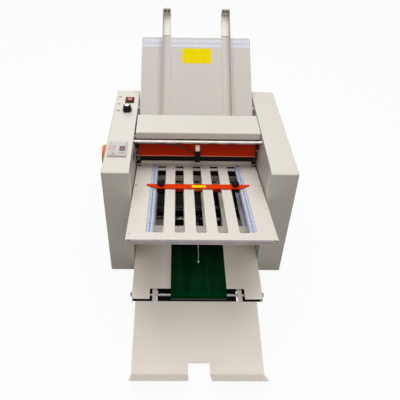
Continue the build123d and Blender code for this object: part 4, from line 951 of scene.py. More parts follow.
@dataclass
class FeedTable:
    """Feed table's scale, its bare label and the tail stops' screws."""

    setback: float = 262.0
    level: float = 287.3
    base: float = 15.0
    cover_front: float = -133.0
    width: float = 359.4
    scale: Scale = field(default_factory=lambda: Scale(33.0, 1.6, 0.7, 0.28, 0.4, (5.0, 3.8, 2.4), 4.0, 9.0))
    scale_start: float = 346.0
    scale_inset: float = 3.0
    figure_end: int = 170
    label_sides: Pair = (-46.0, 50.0)
    label_run: Pair = (287.5, 343.5)
    label_corner: float = 2.5
    label_height: float = 0.2
    tail_end: float = 472.0
    tail_middle: float = 97.75
    tail_screw: tuple[float, float, float] = (5.5, -3.0, 24.0)
    tail_screw_dome: tuple[Pair, ...] = (
        (0, 0.2), (3.5, 0.2), (3.6, 0.6), (3.3, 1.6), (2.2, 2.2), (0.9, 2.4), (0, 2.4))
    matrix: Matrix = field(init=False)

    def __post_init__(self) -> None:
        """Find the table's frame."""
        along = joint_named("left_tail_stop_slide")["axis"]
        origin = Vector((0, self.cover_front + self.setback, self.base + self.level)) * MM
        self.matrix = sloping_frame(origin, along)

    def add_scale(self, film: Shape, blue: Shape, ink: Shape) -> None:
        """Add the table's scale to the scale meshes.

        Args:
            film: Mesh of the table's film.
            blue: Mesh of the centre lines.
            ink: Mesh of the ticks and figures.
        """
        scale, matrix = self.scale, self.matrix
        half = self.width / 2 - self.scale_inset
        low, high, top = self.scale_start, self.scale_start + scale.width, scale.height
        film.block((-half, low, 0), (half, high, top), 0.1, 1, matrix)
        middle, thick = (low + high) / 2, scale.line_width / 2
        for line in (middle - scale.line_gap, middle + scale.line_gap):
            blue.block((-half, line - thick, top), (half, line + thick, top + scale.line_rise), matrix=matrix)
        thin, print_level = scale.tick_width / 2, top + scale.ink_rise
        for mm in range(-int(half) + 2, int(half) - 1):
            for y0, y1 in ((low + scale.tick_margin, low + scale.reach(mm)),
                           (high - scale.reach(mm), high - scale.tick_margin)):
                ink.tick((mm - thin, y0), (mm + thin, y1), print_level, matrix)
        for mm in range(-self.figure_end, self.figure_end + 1, scale.tens):
            for y in (low + scale.figure_inset, high - scale.figure_inset):
                ink.text(str(abs(mm)), scale.figure_size, matrix @ moved(mm, y, print_level))

    def build_label(self) -> None:
        """Lay the bare yellow label on the table."""
        label = Shape()
        (x0, x1), (y0, y1), corner = self.label_sides, self.label_run, self.label_corner
        outline = []
        for cx, cy, start in ((x1 - corner, y1 - corner, 0), (x0 + corner, y1 - corner, 90),
                              (x0 + corner, y0 + corner, 180), (x1 - corner, y0 + corner, 270)):
            for step in range(0, 91, 30):
                angle = math.radians(start + step)
                outline.append((cx + corner * math.cos(angle), cy + corner * math.sin(angle)))
        label.prism(outline, 0.0, self.label_height, self.matrix)
        label.finish("table_label", YELLOW_FILM, "white_film")

    def build_tail_screws(self) -> None:
        """Cap the tail stops' screw heads in black."""
        step, end, level = self.tail_screw
        for side, name in ((-1, "left"), (1, "right")):
            caps = Shape()
            for x in (side * self.tail_middle - step, side * self.tail_middle + step):
                seat = self.matrix @ moved(x, self.tail_end + end, level) @ turned(90.0, "X")
                caps.lathe(self.tail_screw_dome, seat, 24)
            caps.finish(f"tail_screws_{name}", GLOSS_BLACK, "black_plastic", body=f"{name}_tail_stop")


@dataclass
class FoldPlates:
    """Fold plates: their scales, screws, stops and knobs."""

    roller_radius: float = 16.0
    mouth_gap: float = 6.2
    mouth_rise: float = 2.0
    mouth_rollers: dict[str, int] = field(default_factory=lambda: {
        "upper_front": 2, "lower_front": 4, "upper_rear": 3, "lower_rear": 5})
    lengths: dict[str, float] = field(default_factory=lambda: {"upper_front": 415.7, "lower_front": 309.5})
    width: float = 366.8
    slot_land: float = 30.7
    slot_pitch: float = 53.0
    scale: Scale = field(default_factory=lambda: Scale(18.0, 1.1, 1.2, 0.4, 0.3, (4.2, 3.2, 2.0), 5.2, 5.2))
    scale_middle: float = 127.6
    scale_start: float = 3.0
    first_figure: int = 20
    figure_shift: float = -1.8
    stop_places: dict[str, float] = field(default_factory=lambda: {
        "upper_front": 156.0, "lower_front": 81.0, "upper_rear": 120.0, "lower_rear": 120.0})
    stop_width: float = 296.0
    stop_depth: float = 24.0
    stop_tip: float = 3.0
    stop_taper: float = 28.0
    stop_base: float = 2.5
    stop_sheet: float = 2.5
    spacer_size: Pair = (24.0, 12.0)
    clamp_size: Pair = (34.0, 20.0)
    clamp_run: Pair = (-9.3, -6.3)
    finger_width: float = 18.0
    finger_drop: float = 11.0
    finger_sheet: float = 2.0
    patch_low: Pair = (-22.0, -6.0)
    patch_high: Pair = (18.0, 8.5)
    patch_height: float = 0.2
    knob_radius: float = 10.5
    knob_height: float = 14.0
    knob_boss: float = 6.5
    screw_inset: float = 6.4
    screw_start: float = 20.0
    screw_count: int = 4
    frames: dict[str, Matrix] = field(default_factory=dict)

    def __post_init__(self) -> None:
        """Find each plate's frame from the roller that its mouth faces."""
        for plate, roller in self.mouth_rollers.items():
            along = joint_named(f"{plate}_stop_slide")["axis"]
            reach = (self.roller_radius + self.mouth_gap) * (1 if along[1] > 0 else -1)
            middle = Vector(joint_named(f"fold_roller_{roller}_spin")["pos_m"])
            self.frames[plate] = sloping_frame(middle + Vector((0, reach, self.mouth_rise)) * MM, along)

    def build_scales(self, table: FeedTable) -> None:
        """Lay the scale films with their lines, ticks and figures, on the plates and the table.

        Args:
            table: The feed table, whose scale is printed alike.
        """
        film, pale, blue, ink = (Shape() for _ in range(4))
        for plate, length in self.lengths.items():
            for side in (-1, 1):
                self.add_scale(self.frames[plate], side * self.scale_middle, length - self.slot_land,
                               film, blue, ink)
        table.add_scale(pale, blue, ink)
        pale.finish("table_scale_film", TABLE_FILM, "white_film")
        film.finish("scale_films", SCALE_FILM, "white_film", stands_for="scale_strips")
        blue.finish("scale_centre_lines", INKS[Mark.BLUE], "white_film")
        ink.finish("scale_figures", INKS[Mark.NAVY], "white_film")

    def add_scale(self, matrix: Matrix, middle: float, end: float, film: Shape, blue: Shape,
                  ink: Shape) -> None:
        """Add one plate's scale strip to the scale meshes.

        Args:
            matrix: The plate's frame.
            middle: The strip's place across the plate.
            end: Where it ends along the plate.
            film: Mesh of the films.
            blue: Mesh of the centre lines.
            ink: Mesh of the ticks and figures.
        """
        scale = self.scale
        start, half, top = self.scale_start, scale.width / 2, scale.height
        film.block((middle - half, start, 0), (middle + half, end, top), 0.1, 1, matrix)
        thick, thin, print_level = scale.line_width / 2, scale.tick_width / 2, top + scale.ink_rise
        for line in (middle - scale.line_gap, middle + scale.line_gap):
            blue.block((line - thick, start, top), (line + thick, end, top + scale.line_rise), matrix=matrix)
        for mm in range(int(start) + 2, int(end) - 1):
            for side in (-1, 1):
                inner, outer = sorted((middle + side * (half - scale.reach(mm)),
                                       middle + side * (half - scale.tick_margin)))
                ink.tick((inner, mm - thin), (outer, mm + thin), print_level, matrix)
        figures = "\n".join(str(mm) for mm in range(self.first_figure, int(end) - 4, scale.tens))
        first = self.first_figure + self.figure_shift
        for side in (-1, 1):
            spot = moved(middle + side * scale.figure_inset, first, print_level)
            ink.text(figures, scale.figure_size, matrix @ spot @ turned(180.0, "Z"), float(scale.tens))

    def stop_outline(self, along: float) -> list[Pair]:
        """Return the outline of a stop with pointed ends.

        Args:
            along: Where the stop stands along the plate.

        Returns:
            Its corners in the plate's frame.
        """
        half, front, rear = self.stop_width / 2, along - self.stop_depth / 2, along + self.stop_depth / 2
        tip, shoulder = front + self.stop_tip, half - self.stop_taper
        return [(-half, front), (half, front), (half, tip), (shoulder, rear), (-shoulder, rear), (-half, tip)]

    def build_stop(self, plate: str) -> None:
        """Build a stop bar with its fingers, clamp plates, patch and knobs.

        Args:
            plate: The plate that it slides on. Only the upper front one's knobs turn as bodies.
        """
        matrix, along, body = self.frames[plate], self.stop_places[plate], f"{plate}_stop"
        foremost = plate == "upper_front"
        bar, clamps, patch = Shape(), Shape(), Shape()
        front, top = along - self.stop_depth / 2, self.stop_base + self.stop_sheet
        bar.prism(self.stop_outline(along), self.stop_base, top, matrix, 0.6)
        for index in (-1, 0, 1):
            x, half = index * self.slot_pitch, self.finger_width / 2
            bar.block((x - half, front, -self.finger_drop), (x + half, front + self.finger_sheet, top - 0.4),
                      0.4, 2, matrix)
        for side, name in ((-1, "left"), (1, "right")):
            x = 2 * side * self.slot_pitch
            wide, deep = (size / 2 for size in self.clamp_size)
            low, high = self.clamp_run
            clamps.block((x - wide, along - deep, low), (x + wide, along + deep, high), 0.6, 2, matrix)
            wide, deep = (size / 2 for size in self.spacer_size)
            bar.block((x - wide, along - deep, 0.3), (x + wide, along + deep, self.stop_base + 0.1),
                      matrix=matrix)
            knob = self.knob(matrix @ moved(x, along, 0))
            if foremost:
                own = f"upper_stop_knob_{name}"
                knob.finish(f"clamp_knob_{name}", BLACK_PLASTIC, "black_plastic", body=own, stands_for=own)
            else:
                knob.finish(f"{plate}_knob_{name}", BLACK_PLASTIC, "black_plastic", body=body)
        # Stops other than the upper front one take the darkened orange and yellow as painted shade.
        bar.finish(f"{plate}_stop_bar", STOP_PAINT if foremost else SHADED_STOP_PAINT, "orange_stop", body=body,
                   stands_for=body)
        clamps.finish(f"{plate}_clamp_plates", BLACK_PAINT, "orange_stop", body=body)
        (x0, y0), (x1, y1) = self.patch_low, self.patch_high
        patch.block((x0, along + y0, top), (x1, along + y1, top + self.patch_height), 0.1, 1, matrix)
        patch.finish(f"{plate}_stop_patch", YELLOW_FILM if foremost else SHADED_YELLOW_FILM, "orange_stop", body=body)

    def knob(self, seat: Matrix) -> Shape:
        """Turn a fluted clamp knob with its screw.

        Args:
            seat: Its place on the plate, in metres.

        Returns:
            The knob.
        """
        knob = Shape()
        radius, boss, screw = self.knob_radius, self.knob_boss, 2.5
        bottom = self.stop_base + self.stop_sheet + 0.3
        rim, skirt = bottom + self.knob_height, bottom + 3
        knob.lathe([(0, self.clamp_run[0]), (screw, self.clamp_run[0]), (screw, bottom), (boss, bottom),
                    (boss, skirt), (radius - 1.4, skirt), (radius, skirt + 1.2), (radius, rim - 2.6),
                    (radius - 0.5, rim - 1.2), (radius - 1.8, rim - 0.3), (radius - 3.6, rim),
                    (boss - 0.3, rim - 0.4), (boss - 0.9, rim - 1.0), (0, rim - 1.0)], Matrix.Identity(4), 80)
        knob.flute(count=10, depth=0.11, power=2, inner=8.0)
        knob.move(seat)
        return knob

    def screw_frames(self) -> Iterable[Matrix]:
        """Yield the seat of each screw of the upper front plate."""
        x = self.width / 2 - self.screw_inset
        step = (self.lengths["upper_front"] - 2 * self.screw_start) / (self.screw_count - 1)
        for index in range(self.screw_count):
            for side in (-1, 1):
                yield self.frames["upper_front"] @ moved(side * x, self.screw_start + index * step, 0)


@dataclass
class Fasteners:
    """Pan head screws with a cross recess, whose dome is given in shares of its radius and height."""

    radius: float = 3.6
    height: float = 2.2
    shank: float = 1.9
    shank_depth: float = 1.0
    dome_shares: tuple[Pair, ...] = (
        (1.0, 0.0), (1.0, 0.35), (0.9, 0.72), (0.66, 0.93), (0.3, 1.0), (0.0, 1.0))
    recess_half: float = 0.35
    recess_depth: float = 0.3
    recess_share: float = 0.5
    recess_rise: float = 0.02
    recess_turn: float = 0.5

    def build(self, seats: Iterable[Matrix]) -> None:
        """Set a screw on each seat.

        Args:
            seats: Frames whose Z points out of the screwed face.
        """
        heads, recesses = Shape(), Shape()
        shank, bottom, thin = self.shank, -self.shank_depth, self.recess_half
        reach = self.radius * self.recess_share
        profile = [(0, bottom), (shank, bottom), (shank, 0),
                   *((self.radius * across, self.height * up) for across, up in self.dome_shares)]
        for seat in seats:
            heads.lathe(profile, seat, 24)
            for turn in (self.recess_turn, self.recess_turn + math.pi / 2):
                recesses.block((-reach, -thin, self.height - self.recess_depth),
                               (reach, thin, self.height + self.recess_rise),
                               matrix=seat @ Matrix.Rotation(turn, 4, "Z"))
        heads.finish("pan_head_screws", ZINC, "zinc_steel", stands_for="panel_screws")
        recesses.finish("screw_recesses", GLOSS_BLACK, "zinc_steel")


@dataclass
class PowerSwitch:
    """Power switch: a bezel with a well, and a rocker key with its two marks."""

    top: float = 384.0
    x: float = -214.5
    y: float = 262.5
    size: Pair = (28.5, 37.0)
    rim: float = 2.5
    edge: float = 0.8
    well_gap: Pair = (0.4, 0.6)
    well_depth: float = 9.0
    key_size: Pair = (15.0, 25.0)
    key_drop: float = 5.0
    key_rise: float = 6.0
    key_tilt: float = 9.0
    key_heel: float = 2.5
    key_lean: float = 0.3
    key_edge: float = 0.7
    key_edge_angle: float = 60.0
    valley: float = 2.5
    valley_shares: tuple[float, ...] = (0.75, 0.5, 0.25, 0.0, -0.25, -0.5, -0.75)
    mark_share: float = 0.62
    mark_drop: float = 1.5
    mark_height: float = 0.1
    bar_half: Pair = (0.4, 2.2)
    ring: Pair = (1.5, 2.2)

    def build_bezel(self) -> None:
        """Build the bezel and sink its well."""
        (width, length), (key_width, key_length) = self.size, self.key_size
        bezel = Shape()
        made = bezel.block((self.x - width / 2, self.y - length / 2, self.top),
                           (self.x + width / 2, self.y + length / 2, self.top + self.rim), self.edge, 3)
        faces = {face for vert in made for face in vert.link_faces}
        lid = max(faces, key=lambda face: face.calc_center_median().z)
        inset = (length - key_length) / 2 - self.well_gap[1] - self.edge
        bmesh.ops.inset_region(bezel.bm, faces=[lid], thickness=inset * MM, use_even_offset=True)
        narrow = (key_width + 2 * self.well_gap[0]) / (width - 2 * self.edge - 2 * inset)
        bmesh.ops.scale(bezel.bm, vec=(narrow, 1, 1), space=moved(-self.x, -self.y, 0), verts=lid.verts[:])
        bezel.extrude(lid, -self.well_depth, keep=False)
        bezel.outward(bezel.bm.verts)
        bezel.finish("switch_bezel", GLOSS_BLACK, "black_plastic", stands_for="power_switch_body")

    def build_rocker(self) -> None:
        """Build the rocker key at its tilt, and its marks."""
        width, length = self.key_size
        half, low, high = length / 2, -self.key_drop / 2, self.key_drop / 2 + self.key_rise / 2
        tilt = moved(self.x, self.y, self.top + self.rim - self.key_drop / 2) @ turned(-self.key_tilt, "X")
        valley = [(half * share, high - self.valley * (1 - share * share)) for share in self.valley_shares]
        outline = [(half - self.key_heel, low), (half - self.key_lean, high), *valley,
                   (self.key_lean - half, high), (self.key_heel - half, low)]
        key = Shape()
        side = tilt @ Matrix(((0, 0, 1, 0), (1, 0, 0, 0), (0, 1, 0, 0), (0, 0, 0, 1)))
        key.prism(outline, -width / 2, width / 2, side)
        sharp = math.radians(self.key_edge_angle)
        key.bevel([edge for edge in key.bm.edges if edge.calc_face_angle(0) > sharp], self.key_edge)
        key.finish("rocker_key", RED_LENS, "red_plastic", body="power_switch_rocker",
                   stands_for="power_switch_rocker")
        marks = Shape()
        slope = math.degrees(math.atan2(self.valley * 0.9, half))
        reach, level = half * self.mark_share, high - self.mark_drop
        spots = [tilt @ moved(0, sign * reach, level) @ turned(sign * slope, "X") for sign in (-1, 1)]
        (inner, outer), (thin, long), up = self.ring, self.bar_half, self.mark_height
        marks.lathe([(inner, 0), (outer, 0), (outer, up), (inner, up), (inner, 0)], spots[0], 32)
        marks.block((-thin, -long, 0), (thin, long, up), matrix=spots[1])
        marks.finish("rocker_marks", INKS[Mark.WHITE], "red_plastic", body="power_switch_rocker")


@dataclass
class SpeedControl:
    """Skirted speed knob with its dial, and the plain signs beside the controls."""

    top: float = 384.0
    x: float = -217.0
    y: float = 193.0
    radius: float = 14.2
    bottom: float = 3.5
    height: float = 18.0
    cap_inset: float = 6.2
    dial_steps: int = 11
    dial_start: float = 240.0
    dial_pitch: float = 30.0
    dial_inner: float = 16.2
    dial_reach: Pair = (19.8, 21.0)
    tick_half: float = 0.7
    figure_radius: float = 24.0
    figure_size: float = 4.4
    print_rise: float = 0.05
    signs: tuple[tuple[float, float, float], ...] = (
        (-247.5, 285.5, 5.0), (-247.0, 238.4, 4.0), (-246.0, 195.0, 5.6))
    sign_levels: tuple[float, ...] = (-4.0, 0.0, 4.0)
    sign_half: float = 1.3

    def build_knob(self) -> None:
        """Build the fluted knob, its metal cap and its pointer."""
        base = moved(self.x, self.y, self.top + self.bottom)
        radius, height = self.radius, self.height
        inner = radius - self.cap_inset
        knob = Shape()
        knob.lathe([(0, 0), (radius - 0.5, 0), (radius, 0.5), (radius, 3.4), (radius - 0.4, 4.2),
                    (radius - 1.6, 5.0), (radius - 1.8, 5.8), (radius - 2.4, height - 2.4),
                    (radius - 3.2, height - 1.2), (radius - 4.8, height - 0.9), (0, height - 0.9)],
                   Matrix.Identity(4), 108)
        knob.flute(count=18, depth=0.045, power=1, inner=8.0, run=(5.4, height - 1.0))
        knob.move(base)
        knob.finish("skirted_knob", BLACK_PLASTIC, "black_plastic", body="speed_knob",
                    stands_for="speed_knob")
        cap = Shape()
        cap.lathe([(0, height - 1.0), (inner, height - 1.0), (inner, height - 0.2), (inner - 0.5, height),
                   (0, height)], base, 64)
        cap.finish("knob_cap", CAP_METAL, "rail_aluminium", body="speed_knob")
        line = Shape()
        line.block((-0.5, radius - 2.4, 4.4), (0.5, radius - 0.3, 4.6), matrix=base)
        line.block((-0.4, inner - 4.0, height), (0.4, inner - 0.6, height + self.print_rise), matrix=base)
        line.finish("knob_pointer", INKS[Mark.WHITE], "black_plastic", body="speed_knob")

    def build_marks(self) -> None:
        """Print the dial round the knob and the plain signs."""
        marks = Shape()
        level = self.top + self.print_rise
        dial = moved(self.x, self.y, level)
        short, long = self.dial_reach
        for step in range(self.dial_steps):
            angle = self.dial_start - self.dial_pitch * step
            reach = long if step % 5 == 0 else short
            spoke = dial @ turned(angle, "Z")
            marks.tick((self.dial_inner, -self.tick_half), (reach, self.tick_half), 0.0, spoke)
            spot = Matrix.Rotation(math.radians(angle), 3, "Z") @ Vector((self.figure_radius, 0, 0))
            marks.text(str(step), self.figure_size, dial @ moved(*spot))
        for x, y, half in self.signs:
            place = moved(x, y, level)
            for line in self.sign_levels:
                marks.tick((-half, line - self.sign_half), (half, line + self.sign_half), 0.0, place)
        marks.finish("panel_print", INKS[Mark.GREY], "cream_paint")


@dataclass
class Counter:
    """Sheet counter: case, face film, window with figures, plain marks and a button."""

    top: float = 384.0
    x: float = -225.5
    y: float = -27.0
    size: Pair = (52.0, 70.0)
    rim: float = 5.0
    case_edge: float = 1.6
    film_inset: float = 3.0
    film_height: float = 0.25
    film_edge: float = 0.12
    window_size: Pair = (16.0, 26.0)
    window_shift: float = 13.3
    digit_first: Pair = (1.5, 5.0)
    digit_pitch: Pair = (3.5, 10.0)
    digit_rise: float = 0.27
    digit_bars: tuple[tuple[Pair, Pair], ...] = (
        ((0.3, 0), (2.1, 0.4)), ((0.3, 5.6), (2.1, 6.0)), ((0, 0.3), (0.4, 2.8)), ((2.0, 0.3), (2.4, 2.8)),
        ((0, 3.2), (0.4, 5.7)), ((2.0, 3.2), (2.4, 5.7)))
    lit_bar: tuple[float, float, float] = (-0.5, -11.5, -7.5)
    lit_bar_height: float = 0.1
    mark_columns: tuple[float, ...] = (-19.6, -12.5, -7.7)
    mark_rows: int = 7
    mark_start: float = -9.0
    mark_pitch: float = 4.0
    mark_half: float = 1.2
    mark_length: float = 2.2
    mark_height: float = 0.06
    mark_line: tuple[Pair, Pair] = ((-21.0, -31.0), (-8.0, -29.4))
    button_shift: Pair = (-10.0, -22.0)
    button_run: Pair = (1.5, 2.5)

    def panel(self, low: Sequence[float], high: Sequence[float], edge: float, segments: int, name: str,
              finish: Finish, stands_for: str = "") -> None:
        """Build one flat block of the counter.

        Args:
            low: Its lowest corner in millimetres.
            high: Its highest corner.
            edge: Width of its bevel.
            segments: Steps of the bevel.
            name: The piece's name.
            finish: Its finish.
            stands_for: The CAD node that it replaces, if any.
        """
        panel = Shape()
        panel.block(low, high, edge, segments)
        panel.finish(name, finish, "grey_plastic", stands_for=stands_for)

    def build(self) -> None:
        """Build the case, the face film, the window and what is lit in it."""
        x, y, (width, length), (wide, deep) = self.x, self.y, self.size, self.window_size
        rim, inset = self.top + self.rim, self.film_inset
        face = rim + self.film_height
        self.panel((x - width / 2, y - length / 2, self.top), (x + width / 2, y + length / 2, rim),
                   self.case_edge, 4, "counter_case", GREY_PLASTIC, "counter_housing")
        self.panel((x - width / 2 + inset, y - length / 2 + inset, rim),
                   (x + width / 2 - inset, y + length / 2 - inset, face),
                   self.film_edge, 1, "counter_face", PANEL_FILM)
        left, low = x + self.window_shift - wide / 2, y - deep / 2
        self.panel((left, low, face), (left + wide, low + deep, face + self.film_height), self.film_edge, 1,
                   "counter_window", DARK_WINDOW)
        lit = Shape()
        for row in range(2):
            for column in range(4):
                spot = moved(left + self.digit_first[0] + self.digit_pitch[0] * column,
                             low + self.digit_first[1] + self.digit_pitch[1] * row, face + self.digit_rise)
                for start, end in self.digit_bars:
                    lit.tick(start, end, 0.0, spot)
        start, near, far = self.lit_bar
        lit.block((left + start, low + near, face), (left + wide, low + far, face + self.lit_bar_height))
        lit.finish("counter_digits", INKS[Mark.RED], "grey_plastic")
        self.build_print(face)
        self.build_button()

    def build_print(self, face: float) -> None:
        """Print the counter's plain marks.

        Args:
            face: Height of its face film.
        """
        marks = Shape()
        half, long, up = self.mark_half, self.mark_length, face + self.mark_height
        for column in self.mark_columns:
            for row in range(self.mark_rows):
                middle, low = self.x + column, self.y + self.mark_start + self.mark_pitch * row
                marks.block((middle - half, low, face), (middle + half, low + long, up))
        (x0, y0), (x1, y1) = self.mark_line
        marks.block((self.x + x0, self.y + y0, face), (self.x + x1, self.y + y1, up))
        marks.finish("counter_print", INKS[Mark.RED], "grey_plastic")

    def build_button(self) -> None:
        """Turn the reset button."""
        button = Shape()
        low, high = self.top + self.button_run[0], self.top + self.rim + self.button_run[1]
        seat = moved(self.x + self.button_shift[0], self.y + self.button_shift[1], 0)
        button.lathe([(0, low), (5, low), (5, high - 0.9), (4.6, high - 0.3), (3.8, high), (2.2, high - 0.25),
                      (0, high - 0.35)], seat, 40)
        button.finish("counter_button", GREY_PLASTIC, "black_plastic", body="counter_reset_button",
                      stands_for="counter_reset_button")


@dataclass
class Motor:
    """Motor that shows between the covers from the rear: ribbed shell, end bells and a bent foot."""

    end_bell: tuple[Pair, ...] = ((34, 2.0), (40, 4.5), (42, 9.0), (42, 24.0), (41, 25.0))
    rib: tuple[Pair, ...] = ((41, 0.0), (43, 0.8), (43, 3.2), (41, 4.0))
    rib_start: float = 27.0
    rib_pitch: float = 8.0
    boss: float = 18.0
    boss_length: float = 12.0
    bore: float = 6.5
    bore_depth: float = 9.0
    foot_inset: float = 12.0
    foot_sheet: float = 4.0
    leg_shift: float = 21.5
    leg_half: float = 2.0
    leg_gap: float = 30.0

    def build(self) -> None:
        """Build the motor in the box of its CAD node."""
        low, high = ([value / MM for value in corner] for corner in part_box("motor"))
        _, y, z = joint_place("motor_spin")
        start, end = low[0], high[0]
        shell = end - self.boss_length
        motor = Shape()
        profile = [(0, start), (14, start), (16, start + 1.0)]
        profile += [(radius, start + far) for radius, far in self.end_bell]
        rib = start + self.rib_start
        while rib < shell - self.rib_start:
            profile += [(radius, rib + far) for radius, far in self.rib]
            rib += self.rib_pitch
        profile += [(radius, shell - far) for radius, far in reversed(self.end_bell)]
        bottom = end - self.bore_depth
        profile += [(self.boss, shell - 1.0), (self.boss, shell), (self.boss, end), (self.bore, end),
                    (self.bore, bottom), (0, bottom)]
        motor.lathe(profile, across_frame((0, y, z)), 72)
        left, right = start + self.foot_inset, shell - self.foot_inset
        motor.block((left, *low[1:]), (right, high[1], low[2] + self.foot_sheet), 0.8)
        for side in (-1, 1):
            leg = y + side * self.leg_shift
            front, rear = leg - self.leg_half, leg + self.leg_half
            motor.block((left, front, low[2]), (right, rear, z - self.leg_gap), 0.6)
        motor.finish("ribbed_motor", MOTOR_PAINT_AND_SHADE, "dark_frame", stands_for="motor")


@dataclass
class Guard:
    """Bead along the lower edge of the front guard, in a lighter orange that is a painted highlight of its
    rolled edge.
    """

    place: Pair = (70.0, 355.0)
    tilt: float = -7.8
    half: float = 174.5
    length: float = 51.5
    bead: float = 1.3
    sink: float = 0.5
    end_share: float = 0.6

    def build_hem(self) -> None:
        """Roll the bead along the guard's lower edge."""
        half, bead, blunt = self.half, self.bead, self.bead * self.end_share
        edge = moved(0, *self.place) @ turned(self.tilt, "X") @ moved(0, -self.sink, bead - self.length)
        hem = Shape()
        hem.lathe([(0, -half), (blunt, -half), (bead, bead - half), (bead, half - bead), (blunt, half),
                   (0, half)], edge @ turned(90.0, "Y"), 16)
        hem.finish("guard_hem", HEM_HIGHLIGHT_PAINT, "orange_guard")


@dataclass
class Delivery:
    """Delivery belt, the axle and the black sheet of painted shade at its front, and the collars on the cross
    bar.
    """

    spacing: float = 322.0
    radius: float = 12.3
    thickness: float = 1.2
    width: float = 160.0
    shift: float = 4.3
    arc_steps: int = 20
    plate_width: float = 370.0
    plate_sheet: float = 1.5
    axle_radius: float = 4.0
    nut: float = 5.5
    nut_radius: float = 7.0
    nut_edge: float = 1.0
    nut_gap: float = 0.02
    under_run: Pair = (-11.0, 37.0)
    under_drop: float = 15.5
    under_sheet: float = 1.5
    under_tab: float = 12.4
    under_gap: float = 0.03
    under_lap: float = 0.6
    under_edge: float = 0.3
    notch_middle: float = 121.0
    notch_width: float = 14.2
    notch_bridge: float = 12.0
    collars: tuple[Pair, ...] = ((-48.0, 10.0), (63.0, 8.0))
    collar_bore: float = 5.05
    collar_radius: float = 5.7

    def frame(self) -> Matrix:
        """Return the frame of the delivery table, whose origin is on the front roller's axis."""
        front, rear = (Vector(joint_named(f"delivery_{end}_roller_spin")["pos_m"])
                       for end in ("front", "rear"))
        return sloping_frame(front, rear - front)

    def build_axle(self) -> None:
        """Turn the axle with its two nuts."""
        _, y, z = joint_place("delivery_front_roller_spin")
        half, radius, corner = self.plate_width / 2, self.axle_radius, self.nut_radius
        axle = Shape()
        axle.lathe([(0, -half), (radius, -half), (radius, half), (0, half)], across_frame((0, y, z)), 40)
        for x, flip in ((half, False), (-half, True)):
            axle.lathe([(0, self.nut_gap), (corner, self.nut_gap), (corner, self.nut - self.nut_edge),
                        (corner - self.nut_edge, self.nut), (0, self.nut)], across_frame((x, y, z), flip), 6)
        axle.finish("chrome_axle", AXLE_METAL, "chrome", stands_for="front_axle")

    def build_under_sheet(self) -> None:
        """Fold the black sheet below the front roller that paints the shade there, open where the tray's
        hooks pass.
        """
        matrix = self.frame()
        half = self.plate_width / 2 - self.plate_sheet - self.under_gap
        (front, rear), top, edge = self.under_run, -self.under_drop, self.under_edge
        low, bridge = top - self.under_sheet, rear - self.notch_bridge
        inner, outer = self.notch_middle - self.notch_width / 2, self.notch_middle + self.notch_width / 2
        sheet = Shape()
        for left, right in ((-half, -outer), (-inner, inner), (outer, half)):
            sheet.block((left, front, low), (right, bridge, top), edge, 1, matrix)
        sheet.block((-half, bridge - self.under_lap, low), (half, rear, top), edge, 1, matrix)
        for left in (-half, half - self.under_sheet):
            sheet.block((left, front, low), (left + self.under_sheet, rear, low + self.under_tab), edge, 1,
                        matrix)
        # Painted shade: a black sheet where only shade lies below the roller.
        sheet.finish("painted_shade_sheet", BLACK_PAINT, "dark_frame")

    def build_collars(self) -> None:
        """Turn the two small collars on the cross bar that carries the hold-down rod."""
        _, y, z = joint_place("hold_down_rod_swing")
        bore, radius = self.collar_bore, self.collar_radius
        collars = Shape()
        for middle, half in self.collars:
            collars.lathe([(bore, -half), (radius - 0.4, -half), (radius, 0.6 - half), (radius, half - 0.6),
                           (radius - 0.4, half), (bore, half), (bore, -half)],
                          across_frame((middle, y, z)), 32)
        collars.finish("bar_collars", AXLE_METAL, "zinc_steel")

    def build_belt(self) -> None:
        """Build the belt as a closed loop round its two rollers."""
        outer, left, loop = self.radius + self.thickness, (self.shift - self.width / 2) * MM, []
        for centre, start in ((self.spacing, -90.0), (0.0, 90.0)):
            for step in range(self.arc_steps + 1):
                angle = math.radians(start + 180.0 * step / self.arc_steps)
                loop.append((centre + outer * math.cos(angle), outer * math.sin(angle)))
        belt = Shape()
        bm = belt.bm
        points = [bm.verts.new((left, a * MM, b * MM)) for a, b in loop]
        edges = [bm.edges.new(pair) for pair in zip(points, points[1:] + points[:1])]
        side = [item for item in bmesh.ops.extrude_edge_only(bm, edges=edges)["geom"]
                if isinstance(item, bmesh.types.BMVert)]
        bmesh.ops.translate(bm, vec=(self.width * MM, 0, 0), verts=side)
        bmesh.ops.recalc_face_normals(bm, faces=bm.faces[:])
        middle = Vector((0, self.spacing / 2 * MM, 0))
        if bm.faces[0].normal.dot(bm.faces[0].calc_center_median() - middle) < 0:
            bmesh.ops.reverse_faces(bm, faces=bm.faces[:])
        bmesh.ops.solidify(bm, geom=bm.faces[:], thickness=self.thickness * MM)
        bmesh.ops.recalc_face_normals(bm, faces=bm.faces[:])
        belt.move(self.frame())
        belt.finish("smooth_belt", BELT_GREEN, "belt_green", stands_for="delivery_belt")


